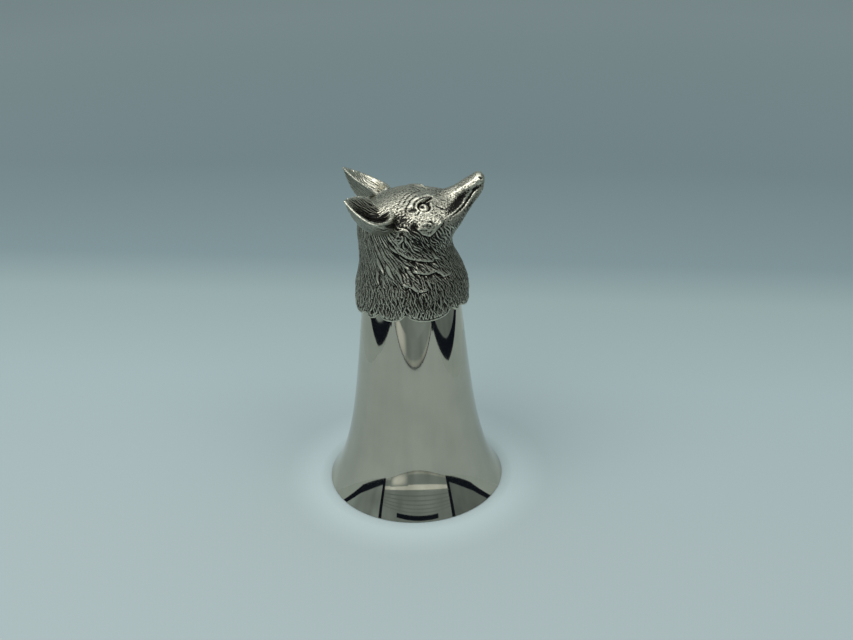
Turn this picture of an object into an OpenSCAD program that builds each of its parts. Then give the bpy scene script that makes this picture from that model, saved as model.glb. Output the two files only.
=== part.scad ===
// Stirrup cup: a spun beaker with a flared mouth and a hollow cast fox's head on its closed end.
// It stands upside down on its rim, as it is kept between drinks. Millimetres, +Z up.
// The origin is the centre of the rim's foot, and the muzzle points along +X.

/* [Beaker] */
// Outside diameter of the rim
rim_d = 76; // [70:1:84]
// Height from the rim's foot to the outside of the closed end
beaker_h = 97; // [88:1:106]
// Outside diameter at the closed end, before its corner is rounded
end_d = 38.5; // [35.5:0.2:41.5]
// Radius that the flare adds to the mouth
flare_w = 9.4; // [6:0.2:12]
// Height over which the flare dies away
flare_h = 16; // [12:1:20]
// Thickness of the spun wall
wall = 1.3; // [0.9:0.1:1.8]
// Thickness of the closed end
end_wall = 1.6; // [1:0.1:2.4]
// Outside radius of the corner round the closed end
end_fillet = 2.4; // [2:0.1:3]
// Bevel on each edge of the lip
lip_bevel = 0.25; // [0.1:0.05:0.4]

/* [Solder joint] */
// Thickness of the solder between beaker and head
solder_gap = 0.2; // [0.1:0.05:0.4]
// Height of the solder band
solder_h = 4; // [2:0.5:4.5]

/* [Head casting] */
// Wall of the ruff at its lower edge, outside the socket
ruff_edge = 2.4; // [2:0.1:3.2]
// Wall of the ruff where it swells, outside the socket
ruff_swell = 3; // [2.6:0.1:3.8]
// How far the ruff stands forward of the beaker's axis, as the chest
chest = 0.5; // [0:0.1:0.8]
// Width of the inner ledge that sits on the closed end
ledge_w = 3.6; // [3:0.1:5]
// Wall of the hollow head
head_wall = 3; // [2.4:0.1:3.6]
// Depth of the scallops along the ruff's lower edge
scallop = 1; // [0.6:0.1:1.3]
// Diameter of each eyeball
eye_d = 3.6; // [3:0.1:4.4]

/* [Ears] */
// Length of an ear's opening from its front corner to its tip
ear_len = 21; // [19:0.5:23]
// Width of an ear's opening at its widest
ear_w = 21; // [18:0.5:23]
// How far an ear's wall bellies out between root and rim
ear_belly = 6; // [4:0.5:7.5]
// Thickness of an ear's wall
ear_wall = 1.5; // [1.1:0.1:1.9]
// Mean radius of the oval root that sits on the head
ear_root_r = 5.2; // [4.6:0.2:6]
// Thickness of the solder under an ear
ear_film = 0.05; // [0.02:0.01:0.1]

/* [Hidden] */

polished = [0.78, 0.79, 0.78];
antiqued = [0.56, 0.56, 0.54];
solder_grey = [0.66, 0.67, 0.68];

// Beaker: a straight taper with a flare that dies away up the wall
rim_r = rim_d / 2;
end_r = end_d / 2;
taper = (rim_r - end_r - flare_w) / (beaker_h - lip_bevel);
profile_steps = 36;
profile_gather = 1.7;
corner_steps = 6;

function flare(z) = flare_w * exp((lip_bevel - z) / flare_h);
function beaker_r(z) = end_r + taper * (beaker_h - z) + flare(z);
function beaker_slope(z) = taper + flare(z) / flare_h;
function bore_r(z) = beaker_r(z) - wall * sqrt(1 + pow(beaker_slope(z), 2));
// Heights up the wall, closer together in the flare
function wall_z(i, low, high) = low + (high - low) * pow(i / profile_steps, profile_gather);
// A quarter circle from the wall over to the closed end
function corner(r, z, radius) = [
    for (i = [0:corner_steps]) let (a = 90 * i / corner_steps)
        [r - radius + radius * cos(a), z - radius + radius * sin(a)]
];

// Head: heights in its tables are measured from the seat, the outside of the closed end
columns = 72;
column_step = 360 / columns;
// Widens a circle of flat facets until they lie outside the true circle
facet_out = 1 / cos(column_step / 2);
function socket_r(z) = beaker_r(beaker_h + z) + solder_gap;

// A section of the head: [nape x, nape z, throat x, throat z, half width, lean, roundness]
// Lean widens the throat side of the section, and a roundness under 1 makes it squarer
function ruff_section(z, thick) = [
    -socket_r(z.x) - thick + chest, z.x, socket_r(z.y) + thick + chest, z.y,
    socket_r((z.x + z.y) / 2) + thick, 0, 1
];
// Heights of the ruff's sections at the nape and at the throat
ruff_foot = [-12.8, -11.4];
ruff_bulge = [-7.5, -7.0];
ruff_seat = [-0.5, -1.5];
sections = [
    ruff_section(ruff_foot, ruff_edge),
    ruff_section(ruff_bulge, ruff_swell),
    ruff_section(ruff_seat, ruff_swell),
    [-20.6, 6.5, 20.7, 5.2, 20.9, 0, 1],
    [-20.0, 12.5, 18.1, 10.4, 19.3, 0, 1],
    [-20.8, 19.5, 17.0, 14.6, 18.2, 0, 1],
    [-19.6, 26.5, 17.5, 18.0, 17.6, 0.05, 1],
    [-15.0, 32.0, 19.0, 21.2, 17.2, 0.1, 0.95],
    [-8.0, 35.2, 20.9, 24.2, 15.8, 0.1, 0.9],
    [0.0, 36.4, 22.9, 26.8, 12.6, 0.1, 0.9],
    [6.5, 35.7, 24.7, 29.0, 8.9, 0.08, 0.9],
    [12.0, 35.0, 26.3, 31.0, 6.4, 0.06, 0.9],
    [18.0, 37.2, 27.7, 32.6, 5.2, 0.04, 0.9],
    [23.4, 40.3, 28.8, 34.2, 4.3, 0, 0.9],
    [27.2, 42.5, 29.6, 36.2, 3.6, 0, 0.9],
    [29.2, 42.0, 29.9, 38.4, 2.4, 0, 1]
];
nose_tip = [30.1, 0, 40.4];
// Rings in each stretch between two sections
ring_counts = [4, 4, 4, 3, 4, 4, 4, 5, 6, 7, 7, 5, 4, 4, 2];

// Swellings and hollows of the face: [x, y, z, radius, height], on both sides alike
eye = [5.2, 10.4, 32.9];
eye_rise = 1.6;
tear = eye + [3.4, -2.6, 0.4];
brow = eye + [-0.8, -2.8, 2.0];
face_forms = [
    [eye.x, eye.y, eye.z, 0.9 * eye_d, -1.5],
    [tear.x, tear.y, tear.z, 2.0, -0.8],
    [brow.x, brow.y, brow.z, 2.2, 0.9],
    [6.0, 14.0, 27.5, 4.2, 1.3],
    [18.5, 5.6, 34.4, 3.0, -0.8],
    [24.0, 3.8, 37.0, 2.4, 0.4],
    [-3.0, 16.5, 24.0, 5.0, 1.4],
    [0.0, 4.5, 37.0, 4.0, 0.6],
    [29.4, 1.9, 41.0, 0.9, -0.8]
];
// The mouth's line from its corner to the underside of the nose, on one side
mouth = [[14.5, 10.8, 29.6], [18.4, 8.0, 30.8], [21.4, 6.0, 32.6], [24.4, 4.8, 36.0], [28.4, 3.0, 38.4]];
mouth_depth = 0.8;
mouth_width = 0.9;

// Notches along the ruff's edge, from nape to throat: [angle from the nape, height]
notches = [[-30, -10.4], [30, -10.4], [50, -8.8], [80, -7.6], [130, -7.4], [145, -8.4], [215, -8.4]];
// How far the lock of fur after each notch hangs below it
lobe_drops = [3.0, 2.0, 2.6, 3.2, 1.6, 3.0];
lobe_round = 0.6;
groove_depth = 0.7;
groove_angle = 4;
scallop_fade = 1.6;

function folded(a) = abs(a) <= 180 ? abs(a) : 360 - a;
function lobe(a) = [
    for (i = [0:len(lobe_drops) - 1]) if (a >= notches[i][0] && a < notches[i + 1][0]) i
][0];
// Height of the ruff's edge at an angle from the nape
function edge_z(a) = let (
    f = folded(a),
    i = lobe(f),
    t = (f - notches[i][0]) / (notches[i + 1][0] - notches[i][0])
) notches[i][1] + t * (notches[i + 1][1] - notches[i][1])
    - scallop * lobe_drops[i] * pow(4 * t * (1 - t), lobe_round);

// A smooth curve through rows of numbers, t from 0 to one less than their count
function through(rows, t) = let (
    i = min(floor(t), len(rows) - 2),
    f = t - i,
    p0 = rows[max(i - 1, 0)],
    p1 = rows[i],
    p2 = rows[i + 1],
    p3 = rows[min(i + 2, len(rows) - 1)]
) p1 + 0.5 * f * ((p2 - p0) + f * ((2 * p0 - 5 * p1 + 4 * p2 - p3) + f * (3 * (p1 - p2) + p3 - p0)));

function rounded(x, power) = sign(x) * pow(abs(x), power);
// A point of a section, drawn in by inset, at an angle from the nape
function section_point(row, a, inset = 0) = let (
    middle = [row[0] + row[2], 0, row[1] + row[3]] / 2,
    half = [row[2] - row[0], 0, row[3] - row[1]] / 2,
    along = half * (1 - inset / norm(half))
) middle - along * rounded(cos(a), row[6])
    + [0, (row[4] - inset) * rounded(sin(a), row[6]) * (1 - row[5] * cos(a)), 0];

function unit(v) = v / norm(v);
function bell(d, radius) = exp(-pow(d / radius, 2));
function off_segment(p, a, b) = let (t = (p - a) * (b - a) / pow(norm(b - a), 2))
    norm(p - a - (b - a) * min(max(t, 0), 1));
function off_mouth(p) = min([for (i = [0:len(mouth) - 2]) off_segment(p, mouth[i], mouth[i + 1])]);
// The eyeball stands proud of its socket as a dome
function eye_dome(p) = let (d = norm(p - eye) * 2 / eye_d) d < 1 ? eye_rise * sqrt(1 - d * d) : 0;
// How far the face swells or sinks at a point
function relief(p) = let (q = [p.x, abs(p.y), p.z])
    [for (f = face_forms) f[4] * bell(norm(q - [f[0], f[1], f[2]]), f[3])] * [for (f = face_forms) 1]
    - mouth_depth * bell(off_mouth(q), mouth_width) + eye_dome(q);
// How far the grooves between the ruff's locks sink it
function lock_groove(a, t) = groove_depth * max(0, 1 - t / scallop_fade)
    * max([for (n = notches) bell(folded(a) - n[0], groove_angle)]);

// A point of the outside, t along the sections, at an angle from the nape, lifted off by a gap
function outer_point(t, a, gap = 0) = let (
    row = through(sections, t),
    middle = [row[0] + row[2], 0, row[1] + row[3]] / 2,
    plain = section_point(row, a),
    out = unit(plain - middle),
    fade = pow(max(0, 1 - t / scallop_fade), 1.5),
    hang = fade > 0 ? fade * (edge_z(a) - section_point(sections[0], a).z) : 0
) plain + out * (relief(plain) - lock_groove(a, t) + gap) + [0, 0, hang];
function outer_ring(t) = [for (i = [0:columns - 1]) outer_point(t, i * column_step)];
outer_places = concat(
    [0],
    [
        for (i = [0:len(ring_counts) - 1])
            for (j = [1:ring_counts[i]]) i + j / ring_counts[i]
    ]
);

// Rings of the inside: the socket's mouth, its wall, the ledge on the closed end, then the hollow
socket_rings = 3;
hollow_places = [3, 4, 5, 6, 7, 8, 8.6];
hollow_shrink = [0, 0, 0, 0.5, 2, 3.5, 5];
function circle_ring(r, z) = [
    for (i = [0:columns - 1]) let (a = i * column_step) [-r * cos(a), r * sin(a), z]
];
function socket_ring(share) = [
    for (i = [0:columns - 1]) let (
        a = i * column_step,
        z = (1 - share) * edge_z(a),
        r = socket_r(z) * facet_out
    ) [-r * cos(a), r * sin(a), z]
];
function hollow_ring(i) = let (row = through(sections, hollow_places[i])) [
    for (k = [0:columns - 1]) section_point(row, k * column_step, head_wall + hollow_shrink[i])
];
ledge_r = end_r - ledge_w;
hollow_end = let (row = through(sections, hollow_places[len(hollow_places) - 1] + 0.2))
    [row[0] + row[2], 0, row[1] + row[3]] / 2;

// A closed skin over rings of equal count, with a point at each end
function skin_points(first, rings, last) = concat([first], [for (r = rings) each r], [last]);
function skin_faces(count, rings) = let (last = count * rings + 1) concat(
    [for (i = [0:count - 1]) [0, 1 + (i + 1) % count, 1 + i]],
    [
        for (j = [0:rings - 2], i = [0:count - 1], half = [0, 1]) let (
            a = 1 + j * count + i,
            b = 1 + j * count + (i + 1) % count
        ) half == 0 ? [a, b, b + count] : [a, b + count, a + count]
    ],
    [for (i = [0:count - 1]) [last, last - count + i, last - count + (i + 1) % count]]
);
module skin(first, rings, last) {
    polyhedron(skin_points(first, rings, last), skin_faces(len(rings[0]), len(rings)));
}

outer_rings = [for (i = [len(outer_places) - 1:-1:0]) outer_ring(outer_places[i])];
inner_rings = concat(
    [for (i = [0:socket_rings]) socket_ring(i / socket_rings)],
    [circle_ring(ledge_r, 0)],
    [for (i = [0:len(hollow_places) - 1]) hollow_ring(i)]
);

// Ear: a cup from an oval root on the head up to a leaf-shaped rim
// The root's middle, [place along the sections, angle from the nape], and its reach either way
root_middle = [6.5, 50];
// Length between sections under the root, and the head's radius there
root_pitch = 7.14;
root_round = 17.36;
root_reach = ear_root_r * [1 / root_pitch, 180 / (PI * root_round)];
root_steps = 3;
// The rim's front corner, the way to its tip and the way it faces, in the head's frame
ear_front = [-6.3, -14.4, 32.4];
ear_axis = [-19, -4.1, 8.1];
ear_facing = [0.4, -0.12, 0.91];
ear_columns = 44;
wall_steps = 6;
ear_along = unit(ear_axis);
ear_up = unit(ear_facing - (ear_facing * ear_along) * ear_along);
ear_across = cross(ear_up, ear_along);
// Powers that set where each side of the leaf is widest and how blunt its ends are: [outer, inner]
leaf_place = [0.92, 0.75];
leaf_blunt = [0.78, 0.9];
// The rim's lift along its length: [curve, slope, start]
ear_bow = [4.4, -4.4, 0];
// Shares of the length between which the rim's edge is thickened towards the spine
rim_aim = [0.12, 0.86];
// Share of the belly left at the front corner, the spread of its way out to the sides,
// and the share of it that the inner side loses
belly_front = 0.2;
belly_spread = 0.6;
belly_flat = 1.6;
// Share of the root's reach that the floor inside the ear keeps
floor_share = 0.5;

function leaf(s, side) = pow(sin(180 * pow(s, leaf_place[side])), leaf_blunt[side]);
function ear_spine(s) = ear_front + ear_along * ear_len * s + ear_up * (ear_bow * [s * s, s, 1]);
// Angles round the ear run from the tip over the outer side to the front corner
function rim_point(a, inset) = let (
    s = (1 + cos(a)) / 2,
    way = sign(sin(a)),
    edge = ear_spine(s) + ear_across * way * ear_w / 2 * leaf(s, way > 0 ? 0 : 1),
    inward = ear_spine(min(max(s, rim_aim[0]), rim_aim[1])) - edge
) edge + unit(inward) * inset;
function root_point(a, share, gap) = let (
    place = root_middle + share * [-root_reach.x * cos(a), root_reach.y * sin(a)]
) outer_point(place.x, -place.y, gap);
function belly(a) = ear_belly * (belly_front + (1 - belly_front) * (1 + cos(a)) / 2)
    * (1 + min(0, sin(a)) * belly_flat);
function belly_way(a) = unit(
    ear_across * belly_spread * sin(a) - ear_up + ear_along * min(0, belly_spread * cos(a))
);
// A wall from root to rim, bellying out between them
function wall_point(q, a, root, rim, out) = let (
    bend = (root + rim) / 2 + belly_way(a) * out
) (1 - q) * (1 - q) * root + 2 * q * (1 - q) * bend + q * q * rim;
function ear_angle(i) = 360 * i / ear_columns;
function root_ring(share, gap) = [
    for (i = [0:ear_columns - 1]) root_point(ear_angle(i), share, gap)
];
function outer_wall_ring(q) = [
    for (i = [0:ear_columns - 1]) let (a = ear_angle(i))
        wall_point(q, a, root_point(a, 1, ear_film), rim_point(a, 0), belly(a))
];
function inner_wall_ring(q) = [
    for (i = [0:ear_columns - 1]) let (
        a = ear_angle(i),
        root = root_point(a, floor_share, ear_film + ear_wall)
    ) wall_point(q, a, root, rim_point(a, ear_wall), max(0, belly(a) - ear_wall))
];
ear_rings = concat(
    [for (i = [1:root_steps]) root_ring(i / root_steps, ear_film)],
    [for (i = [1:wall_steps]) outer_wall_ring(i / wall_steps)],
    [for (i = [wall_steps:-1:0]) inner_wall_ring(i / wall_steps)]
);
ear_foot = root_point(0, 0, ear_film);
ear_floor = root_point(0, 0, ear_film + ear_wall);

module beaker() {
    outside = [
        for (i = [0:profile_steps]) let (z = wall_z(i, lip_bevel, beaker_h - end_fillet)) [beaker_r(z), z]
    ];
    inner_top = beaker_h - end_wall;
    inner_fillet = end_fillet - min(wall, end_wall) / 2;
    inside = [
        for (i = [0:profile_steps]) let (z = wall_z(i, lip_bevel, inner_top - inner_fillet)) [bore_r(z), z]
    ];
    inner_corner = corner(bore_r(inner_top - inner_fillet), inner_top, inner_fillet);
    color(polished) rotate_extrude($fn = 144) polygon(concat(
        [[rim_r - lip_bevel, 0]],
        outside,
        corner(beaker_r(beaker_h - end_fillet), beaker_h, end_fillet),
        [[0, beaker_h], [0, inner_top]],
        [for (i = [corner_steps:-1:0]) inner_corner[i]],
        [for (i = [profile_steps:-1:0]) inside[i]],
        [[bore_r(0) + lip_bevel, 0]]
    ));
}

module solder_band() {
    high = beaker_h - end_fillet;
    low = high - solder_h;
    color(solder_grey) rotate_extrude($fn = 144) polygon([
        [beaker_r(low), low], [beaker_r(low) + solder_gap, low],
        [beaker_r(high) + solder_gap, high], [beaker_r(high), high]
    ]);
}

module fox_head() {
    color(antiqued) translate([0, 0, beaker_h])
        skin(nose_tip, concat(outer_rings, inner_rings), hollow_end);
}

module ear() {
    translate([0, 0, beaker_h]) skin(ear_foot, ear_rings, ear_floor);
}

module right_ear() {
    color(antiqued) ear();
}

module left_ear() {
    color(antiqued) mirror([0, 1, 0]) ear();
}

beaker();
solder_band();
fox_head();
right_ear();
left_ear();
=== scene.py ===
"""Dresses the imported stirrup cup: a mirror-polished pewter beaker that carries an antiqued fox's head.

Blender works in metres. The sculpting of head and ears is written in millimetres about the seat, which is the
middle of the beaker's closed end, with +X along the muzzle and +Z up.
"""

import logging
import math
from abc import ABC, abstractmethod
from dataclasses import dataclass, field
from enum import Enum

import bmesh
import bpy
import numpy as np
from mathutils import Matrix, Vector
from mathutils.bvhtree import BVHTree
from mathutils.kdtree import KDTree


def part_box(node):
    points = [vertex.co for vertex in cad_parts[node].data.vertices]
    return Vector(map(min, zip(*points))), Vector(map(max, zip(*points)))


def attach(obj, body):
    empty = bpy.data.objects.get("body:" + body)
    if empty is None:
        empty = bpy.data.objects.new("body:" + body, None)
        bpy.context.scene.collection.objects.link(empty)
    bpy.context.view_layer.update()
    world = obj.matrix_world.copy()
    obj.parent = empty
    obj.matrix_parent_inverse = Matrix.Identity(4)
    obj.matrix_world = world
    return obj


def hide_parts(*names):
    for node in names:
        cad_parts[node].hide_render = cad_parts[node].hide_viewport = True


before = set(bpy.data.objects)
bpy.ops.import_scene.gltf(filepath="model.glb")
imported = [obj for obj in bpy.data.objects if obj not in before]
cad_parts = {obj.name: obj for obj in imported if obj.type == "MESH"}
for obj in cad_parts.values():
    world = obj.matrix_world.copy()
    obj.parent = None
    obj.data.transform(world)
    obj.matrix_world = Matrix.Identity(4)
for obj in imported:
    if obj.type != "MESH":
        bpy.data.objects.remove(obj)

log = logging.getLogger("stirrup_cup")

MM = 0.001
WELD = 0.001 * MM
BODY = "root"
RELIEF = "relief"
STRAND = "strand"

Array = np.ndarray
Pair = tuple[float, float]
Place = tuple[float, float, float]
Colour = tuple[float, float, float]
Stops = tuple[tuple[float, Colour], ...]
Foot = tuple[tuple[float, float, float, float], ...]

INF = math.inf
EVERYWHERE: Pair = (-INF, INF)
PRINCIPLED = "ShaderNodeBsdfPrincipled"
# Middle of the nose's pad, about the seat
NOSE: Place = (28.5, 2.4, 40.4)


class Node(str, Enum):
    """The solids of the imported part."""

    BEAKER = "beaker"
    SOLDER = "solder_band"
    HEAD = "fox_head"
    RIGHT_EAR = "right_ear"
    LEFT_EAR = "left_ear"


class Slot(str, Enum):
    """The material slots of the pieces made here."""

    POLISHED = "polished_pewter"
    ANTIQUED = "antiqued_pewter"


class Hand(Enum):
    """The fox's right and left, by the sign of Y."""

    RIGHT = -1
    LEFT = 1


def smooth_step(values: Array, low: float, high: float) -> Array:
    """Eases values from 0 at low to 1 at high.

    Args:
        values: Numbers to ease.
        low: Where the ease starts.
        high: Where it ends.

    Returns:
        The eased shares.
    """
    share = np.clip((values - low) / (high - low), 0, 1)
    return share * share * (3 - 2 * share)


def bell(distance: Array, radius: float) -> Array:
    """A bell-shaped fall from 1 at no distance, with a radius."""
    return np.exp(-((distance / radius) ** 2))


def unit(vectors: Array) -> Array:
    """The vectors at length 1."""
    return vectors / np.maximum(np.linalg.norm(vectors, axis=-1, keepdims=True), 1e-9)


def far_from(points: Array, place: Place) -> Array:
    """Each point's distance from a place."""
    return np.linalg.norm(points - np.array(place), axis=1)


def turned_over(points: Array, vectors: Array) -> Array:
    """Turns vectors on the fox's right over to the left, or back again, so that both sides read alike.

    Args:
        points: Where each vector is.
        vectors: The vectors, which may be the points themselves.

    Returns:
        The vectors, with Y outwards.
    """
    turned = vectors.copy()
    turned[:, 1] *= np.where(points[:, 1] < 0, -1, 1)
    return turned


def along_line(points: Array, line: Array) -> tuple[Array, Array, Array]:
    """Finds where points lie beside a line of straight steps.

    Args:
        points: Places, one a row.
        line: The line's corners, one a row.

    Returns:
        Each point's distance from the line, the share of the line's steps before it, and the way to it.
    """
    best = np.full(len(points), np.inf)
    share = np.zeros(len(points))
    way = np.zeros_like(points)
    steps = len(line) - 1
    for index in range(steps):
        start, run = line[index], line[index + 1] - line[index]
        t = np.clip((points - start) @ run / max(run @ run, 1e-9), 0, 1)
        off = points - start - t[:, None] * run
        distance = np.linalg.norm(off, axis=1)
        nearer = distance < best
        best = np.where(nearer, distance, best)
        share = np.where(nearer, (index + t) / steps, share)
        way = np.where(nearer[:, None], off, way)
    return best, share, way


class Skin:
    """A mesh's surface as arrays, in millimetres about the seat.

    Attributes:
        ease: How far a point moves to its neighbours' middle at a time.
        swell_back: How much of that move is taken back, so that the whole doesn't shrink.
        wear_scales: Rounds of blur, and what a millimetre above the blurred surface adds to the wear.
    """

    ease: float = 0.5
    swell_back: float = 1.04
    wear_scales: tuple[tuple[int, float], ...] = ((3, 4.2), (12, 1.6), (60, 0.55))

    def __init__(self, obj: bpy.types.Object, seat: float, node: Node) -> None:
        """Reads an object's mesh.

        Args:
            obj: The piece, at the origin.
            seat: Height of the seat, in metres.
            node: The solid that the piece stands for, whose top it stays under.
        """
        self.obj = obj
        self.ceiling = (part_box(node.value)[1].z - seat) / MM
        self.seat = np.array([0.0, 0.0, seat])
        mesh = obj.data
        self.points = (self.read(mesh.vertices, "co") - self.seat) / MM
        self.normals = self.read(mesh.vertex_normals, "vector")
        pairs = np.empty(len(mesh.edges) * 2, dtype=np.int64)
        mesh.edges.foreach_get("vertices", pairs)
        self.pairs = pairs.reshape(-1, 2)
        self.valence = np.maximum(np.bincount(pairs, minlength=len(self.points)), 1)

    def read(self, rows: bpy.types.bpy_prop_collection, name: str) -> Array:
        """Reads a vector from each of a mesh's rows.

        Args:
            rows: The mesh's vertices or normals.
            name: The vector's name.

        Returns:
            One vector a row.
        """
        flat = np.empty(len(rows) * 3)
        rows.foreach_get(name, flat)
        return flat.reshape(-1, 3)

    def write(self) -> None:
        """Puts the points back into the mesh, no higher than the solid, and reads its normals again."""
        self.points[:, 2] = np.minimum(self.points[:, 2], self.ceiling)
        self.obj.data.vertices.foreach_set("co", (self.points * MM + self.seat).ravel())
        self.obj.data.update()
        self.normals = self.read(self.obj.data.vertex_normals, "vector")

    @property
    def side(self) -> Array:
        """The points, with those on the right turned over to the left."""
        return turned_over(self.points, self.points)

    @property
    def facing(self) -> Array:
        """The normals, turned over likewise."""
        return turned_over(self.points, self.normals)

    def neighbours_mean(self, values: Array) -> Array:
        """Averages a value, or a row of values, over each point's neighbours.

        Args:
            values: A value, or a row of them, for each point.

        Returns:
            The averages, in the same shape.
        """
        columns = values.reshape(len(values), -1)
        first, second = self.pairs.T
        mean = np.empty_like(columns)
        for index, column in enumerate(columns.T):
            total = np.bincount(first, column[second], len(column))
            total += np.bincount(second, column[first], len(column))
            mean[:, index] = total / self.valence
        return mean.reshape(values.shape)

    def spread(self, values: Array, rounds: int) -> Array:
        """Blurs values over the surface.

        Args:
            values: A value, or a row of them, for each point.
            rounds: How often they are mixed with their neighbours'.

        Returns:
            The blurred values.
        """
        for _ in range(rounds):
            values = 0.5 * values + 0.5 * self.neighbours_mean(values)
        return values

    def relax(self, rounds: int) -> None:
        """Evens out the surface and writes it.

        Args:
            rounds: How often.
        """
        for _ in range(rounds):
            for amount in (self.ease, -self.swell_back * self.ease):
                self.points += amount * (self.neighbours_mean(self.points) - self.points)
        self.write()

    def push(self, height: Array) -> None:
        """Moves the points out along their normals, in millimetres, and writes them."""
        self.points += self.normals * height[:, None]
        self.write()

    def stands_out(self, rounds: int) -> Array:
        """How far each point stands out of the surface once that is blurred."""
        off = self.points - self.spread(self.points, rounds)
        return (off * self.normals).sum(1)

    def wear(self) -> Array:
        """How far each point shows wear: 0 in a recess, which stays blackened, and 1 on a ridge.

        Returns:
            About 0.5 where the surface is plain.
        """
        rise = np.zeros(len(self.points))
        for rounds, share in self.wear_scales:
            rise += share * self.stands_out(rounds)
        return 0.5 + rise


class Coat:
    """Fur on a surface, one number a point: height, nearness to a lock's tip, strand, and rubbing with
    painted shade and highlights.

    The strand is the place across a lock, and the rubbing is what cut adds to the wear, with the painted
    shade and highlights of the eye and the folds.
    """

    flow: Array
    tree: KDTree

    def __init__(self, skin: Skin) -> None:
        """Starts bare.

        Args:
            skin: The surface.
        """
        self.skin = skin
        self.height, self.tip, self.strand, self.rub_and_shade = np.zeros((4, len(skin.points)))

    def comb(self, way: Array) -> None:
        """Settles the way that the fur runs over the surface as it now is.

        Args:
            way: A way for each point, turned over on the right.
        """
        points, facing = self.skin.points, self.skin.facing
        way = way - facing * (way * facing).sum(1, keepdims=True)
        self.flow = unit(turned_over(points, way))
        self.tree = KDTree(len(points))
        for number, place in enumerate(points):
            self.tree.insert(place, number)
        self.tree.balance()

    def settled(self, sink: float, rounds: int) -> Array:
        """The fur's height, less a share of its own blur, so that the whole grows no thicker."""
        return self.height - sink * self.skin.spread(self.height, rounds)

    def store(self, wear_and_shade: Array) -> None:
        """Keeps the wear with its painted shade and highlights, from 0 to 1, and the strands as the mesh's
        attributes.

        Args:
            wear_and_shade: The wear with its painted shade and highlights, which is cut off at 0 and 1.
        """
        for name, values in ((RELIEF, np.clip(wear_and_shade, 0, 1)), (STRAND, self.strand)):
            attribute = self.skin.obj.data.attributes.new(name, "FLOAT", "POINT")
            attribute.data.foreach_set("value", values.astype(np.float32))


@dataclass(frozen=True)
class FurPatch:
    """A patch of cast fur: locks of one kind, laid like shingles along the flow.

    Attributes:
        spacing: Least distance between roots.
        length: Length of a lock.
        width: Half width of a lock at its widest.
        height: Height of a lock near its tip.
        wave: Degrees that a lock swings either way on its run.
        point: How early a lock narrows to its tip; a higher number is blunter.
        seed: Seed of the patch's own random numbers.
        end: Share of a lock's run where it ends.
        least: Least share of its width that the narrowing leaves.
        taper: Power of its narrowing; climb and roundness are powers too, of its rise and its section.
    """

    spacing: float
    length: float
    width: float
    height: float
    wave: float
    point: float
    seed: int
    steps: int = 7
    vary: float = 0.35
    root_width: float = 0.5
    widening: float = 1.5
    taper: float = 0.7
    end: float = 0.999
    least: float = 0.001
    root_height: float = 0.2
    climb: float = 0.7
    roundness: float = 0.8

    def grow(self, coat: Coat, where: Array) -> None:
        """Throws roots at a part of the surface, keeps those with room round them, and lays their locks.

        Args:
            coat: The fur so far, which this raises.
            where: True for each point that may take a root.
        """
        draw = np.random.default_rng(self.seed)
        free = where.copy()
        roots = []
        for number in draw.permutation(np.flatnonzero(where)):
            if free[number]:
                roots.append(int(number))
                near = coat.tree.find_range(coat.skin.points[number], self.spacing)
                free[[other for _, other, _ in near]] = False
        self.lay(coat, roots)

    def lay(self, coat: Coat, roots: list[int]) -> None:
        """Lays a lock from each root.

        Args:
            coat: The fur so far, which this raises.
            roots: Points that locks start from.
        """
        draw = np.random.default_rng(self.seed + 1)
        for root in roots:
            size = 1 + self.vary * draw.uniform(-1, 1)
            swing = math.radians(self.wave) * draw.uniform(0.5, 1)
            phase = draw.uniform(0, 2 * math.pi)
            self.stamp(coat, self.trace(coat, root, self.length * size, swing, phase), size)

    def trace(self, coat: Coat, root: int, length: float, swing: float, phase: float) -> Array:
        """Follows the flow over the surface from a root.

        Args:
            coat: The fur, whose flow is followed.
            root: Where the lock starts.
            length: How far it runs.
            swing: Angle that it swings either way.
            phase: Where in its swing it starts.

        Returns:
            The lock's spine, one place a row.
        """
        normals = coat.skin.normals
        place = coat.skin.points[root].copy()
        number = root
        spine = [place]
        for index in range(self.steps):
            ahead = coat.flow[number]
            turn = swing * math.sin(phase + 2 * math.pi * index / self.steps)
            way = ahead * math.cos(turn) + np.cross(normals[number], ahead) * math.sin(turn)
            place = place + way * (length / self.steps)
            nearest, number, _ = coat.tree.find(place)
            normal = normals[number]
            place = place - normal * ((place - np.array(nearest)) @ normal)
            spine.append(place)
        return np.array(spine)

    def stamp(self, coat: Coat, spine: Array, size: float) -> None:
        """Raises the coat where one lock lies.

        Args:
            coat: The fur so far.
            spine: The lock's spine.
            size: The lock's size beside the patch's usual one.
        """
        middle = spine[self.steps // 2]
        reach = np.linalg.norm(spine - middle, axis=1).max() + self.width * size
        near = np.array([number for _, number, _ in coat.tree.find_range(middle, reach)], dtype=np.int64)
        if not len(near):
            return
        distance, share, way = along_line(coat.skin.points[near], spine)
        full = np.minimum(1, self.root_width + self.widening * share)
        half = self.width * size * full * np.maximum(1 - share**self.point, self.least) ** self.taper
        across = distance / half
        inside = (across < 1) & (share < self.end)
        near, share, across, way, half = (values[inside] for values in (near, share, across, way, half))
        if not len(near):
            return
        ahead = unit(spine[-1] - spine[0])
        hand = np.sign((np.cross(coat.skin.normals[near], ahead) * way).sum(1))
        climb = self.root_height + (1 - self.root_height) * share**self.climb
        rise = self.height * size * climb * (1 - across**2) ** self.roundness
        higher = rise > coat.height[near]
        raised = near[higher]
        coat.height[raised] = rise[higher]
        coat.tip[raised] = share[higher]
        coat.strand[raised] = (hand * across * half)[higher]


def new_piece(name: str, bm: bmesh.types.BMesh) -> bpy.types.Object:
    """Makes an object at the origin from a bmesh, and frees that.

    Args:
        name: Its name, and its mesh's.
        bm: The shape.

    Returns:
        The object.
    """
    mesh = bpy.data.meshes.new(name)
    bm.to_mesh(mesh)
    bm.free()
    return new_object(name, mesh)


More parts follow.
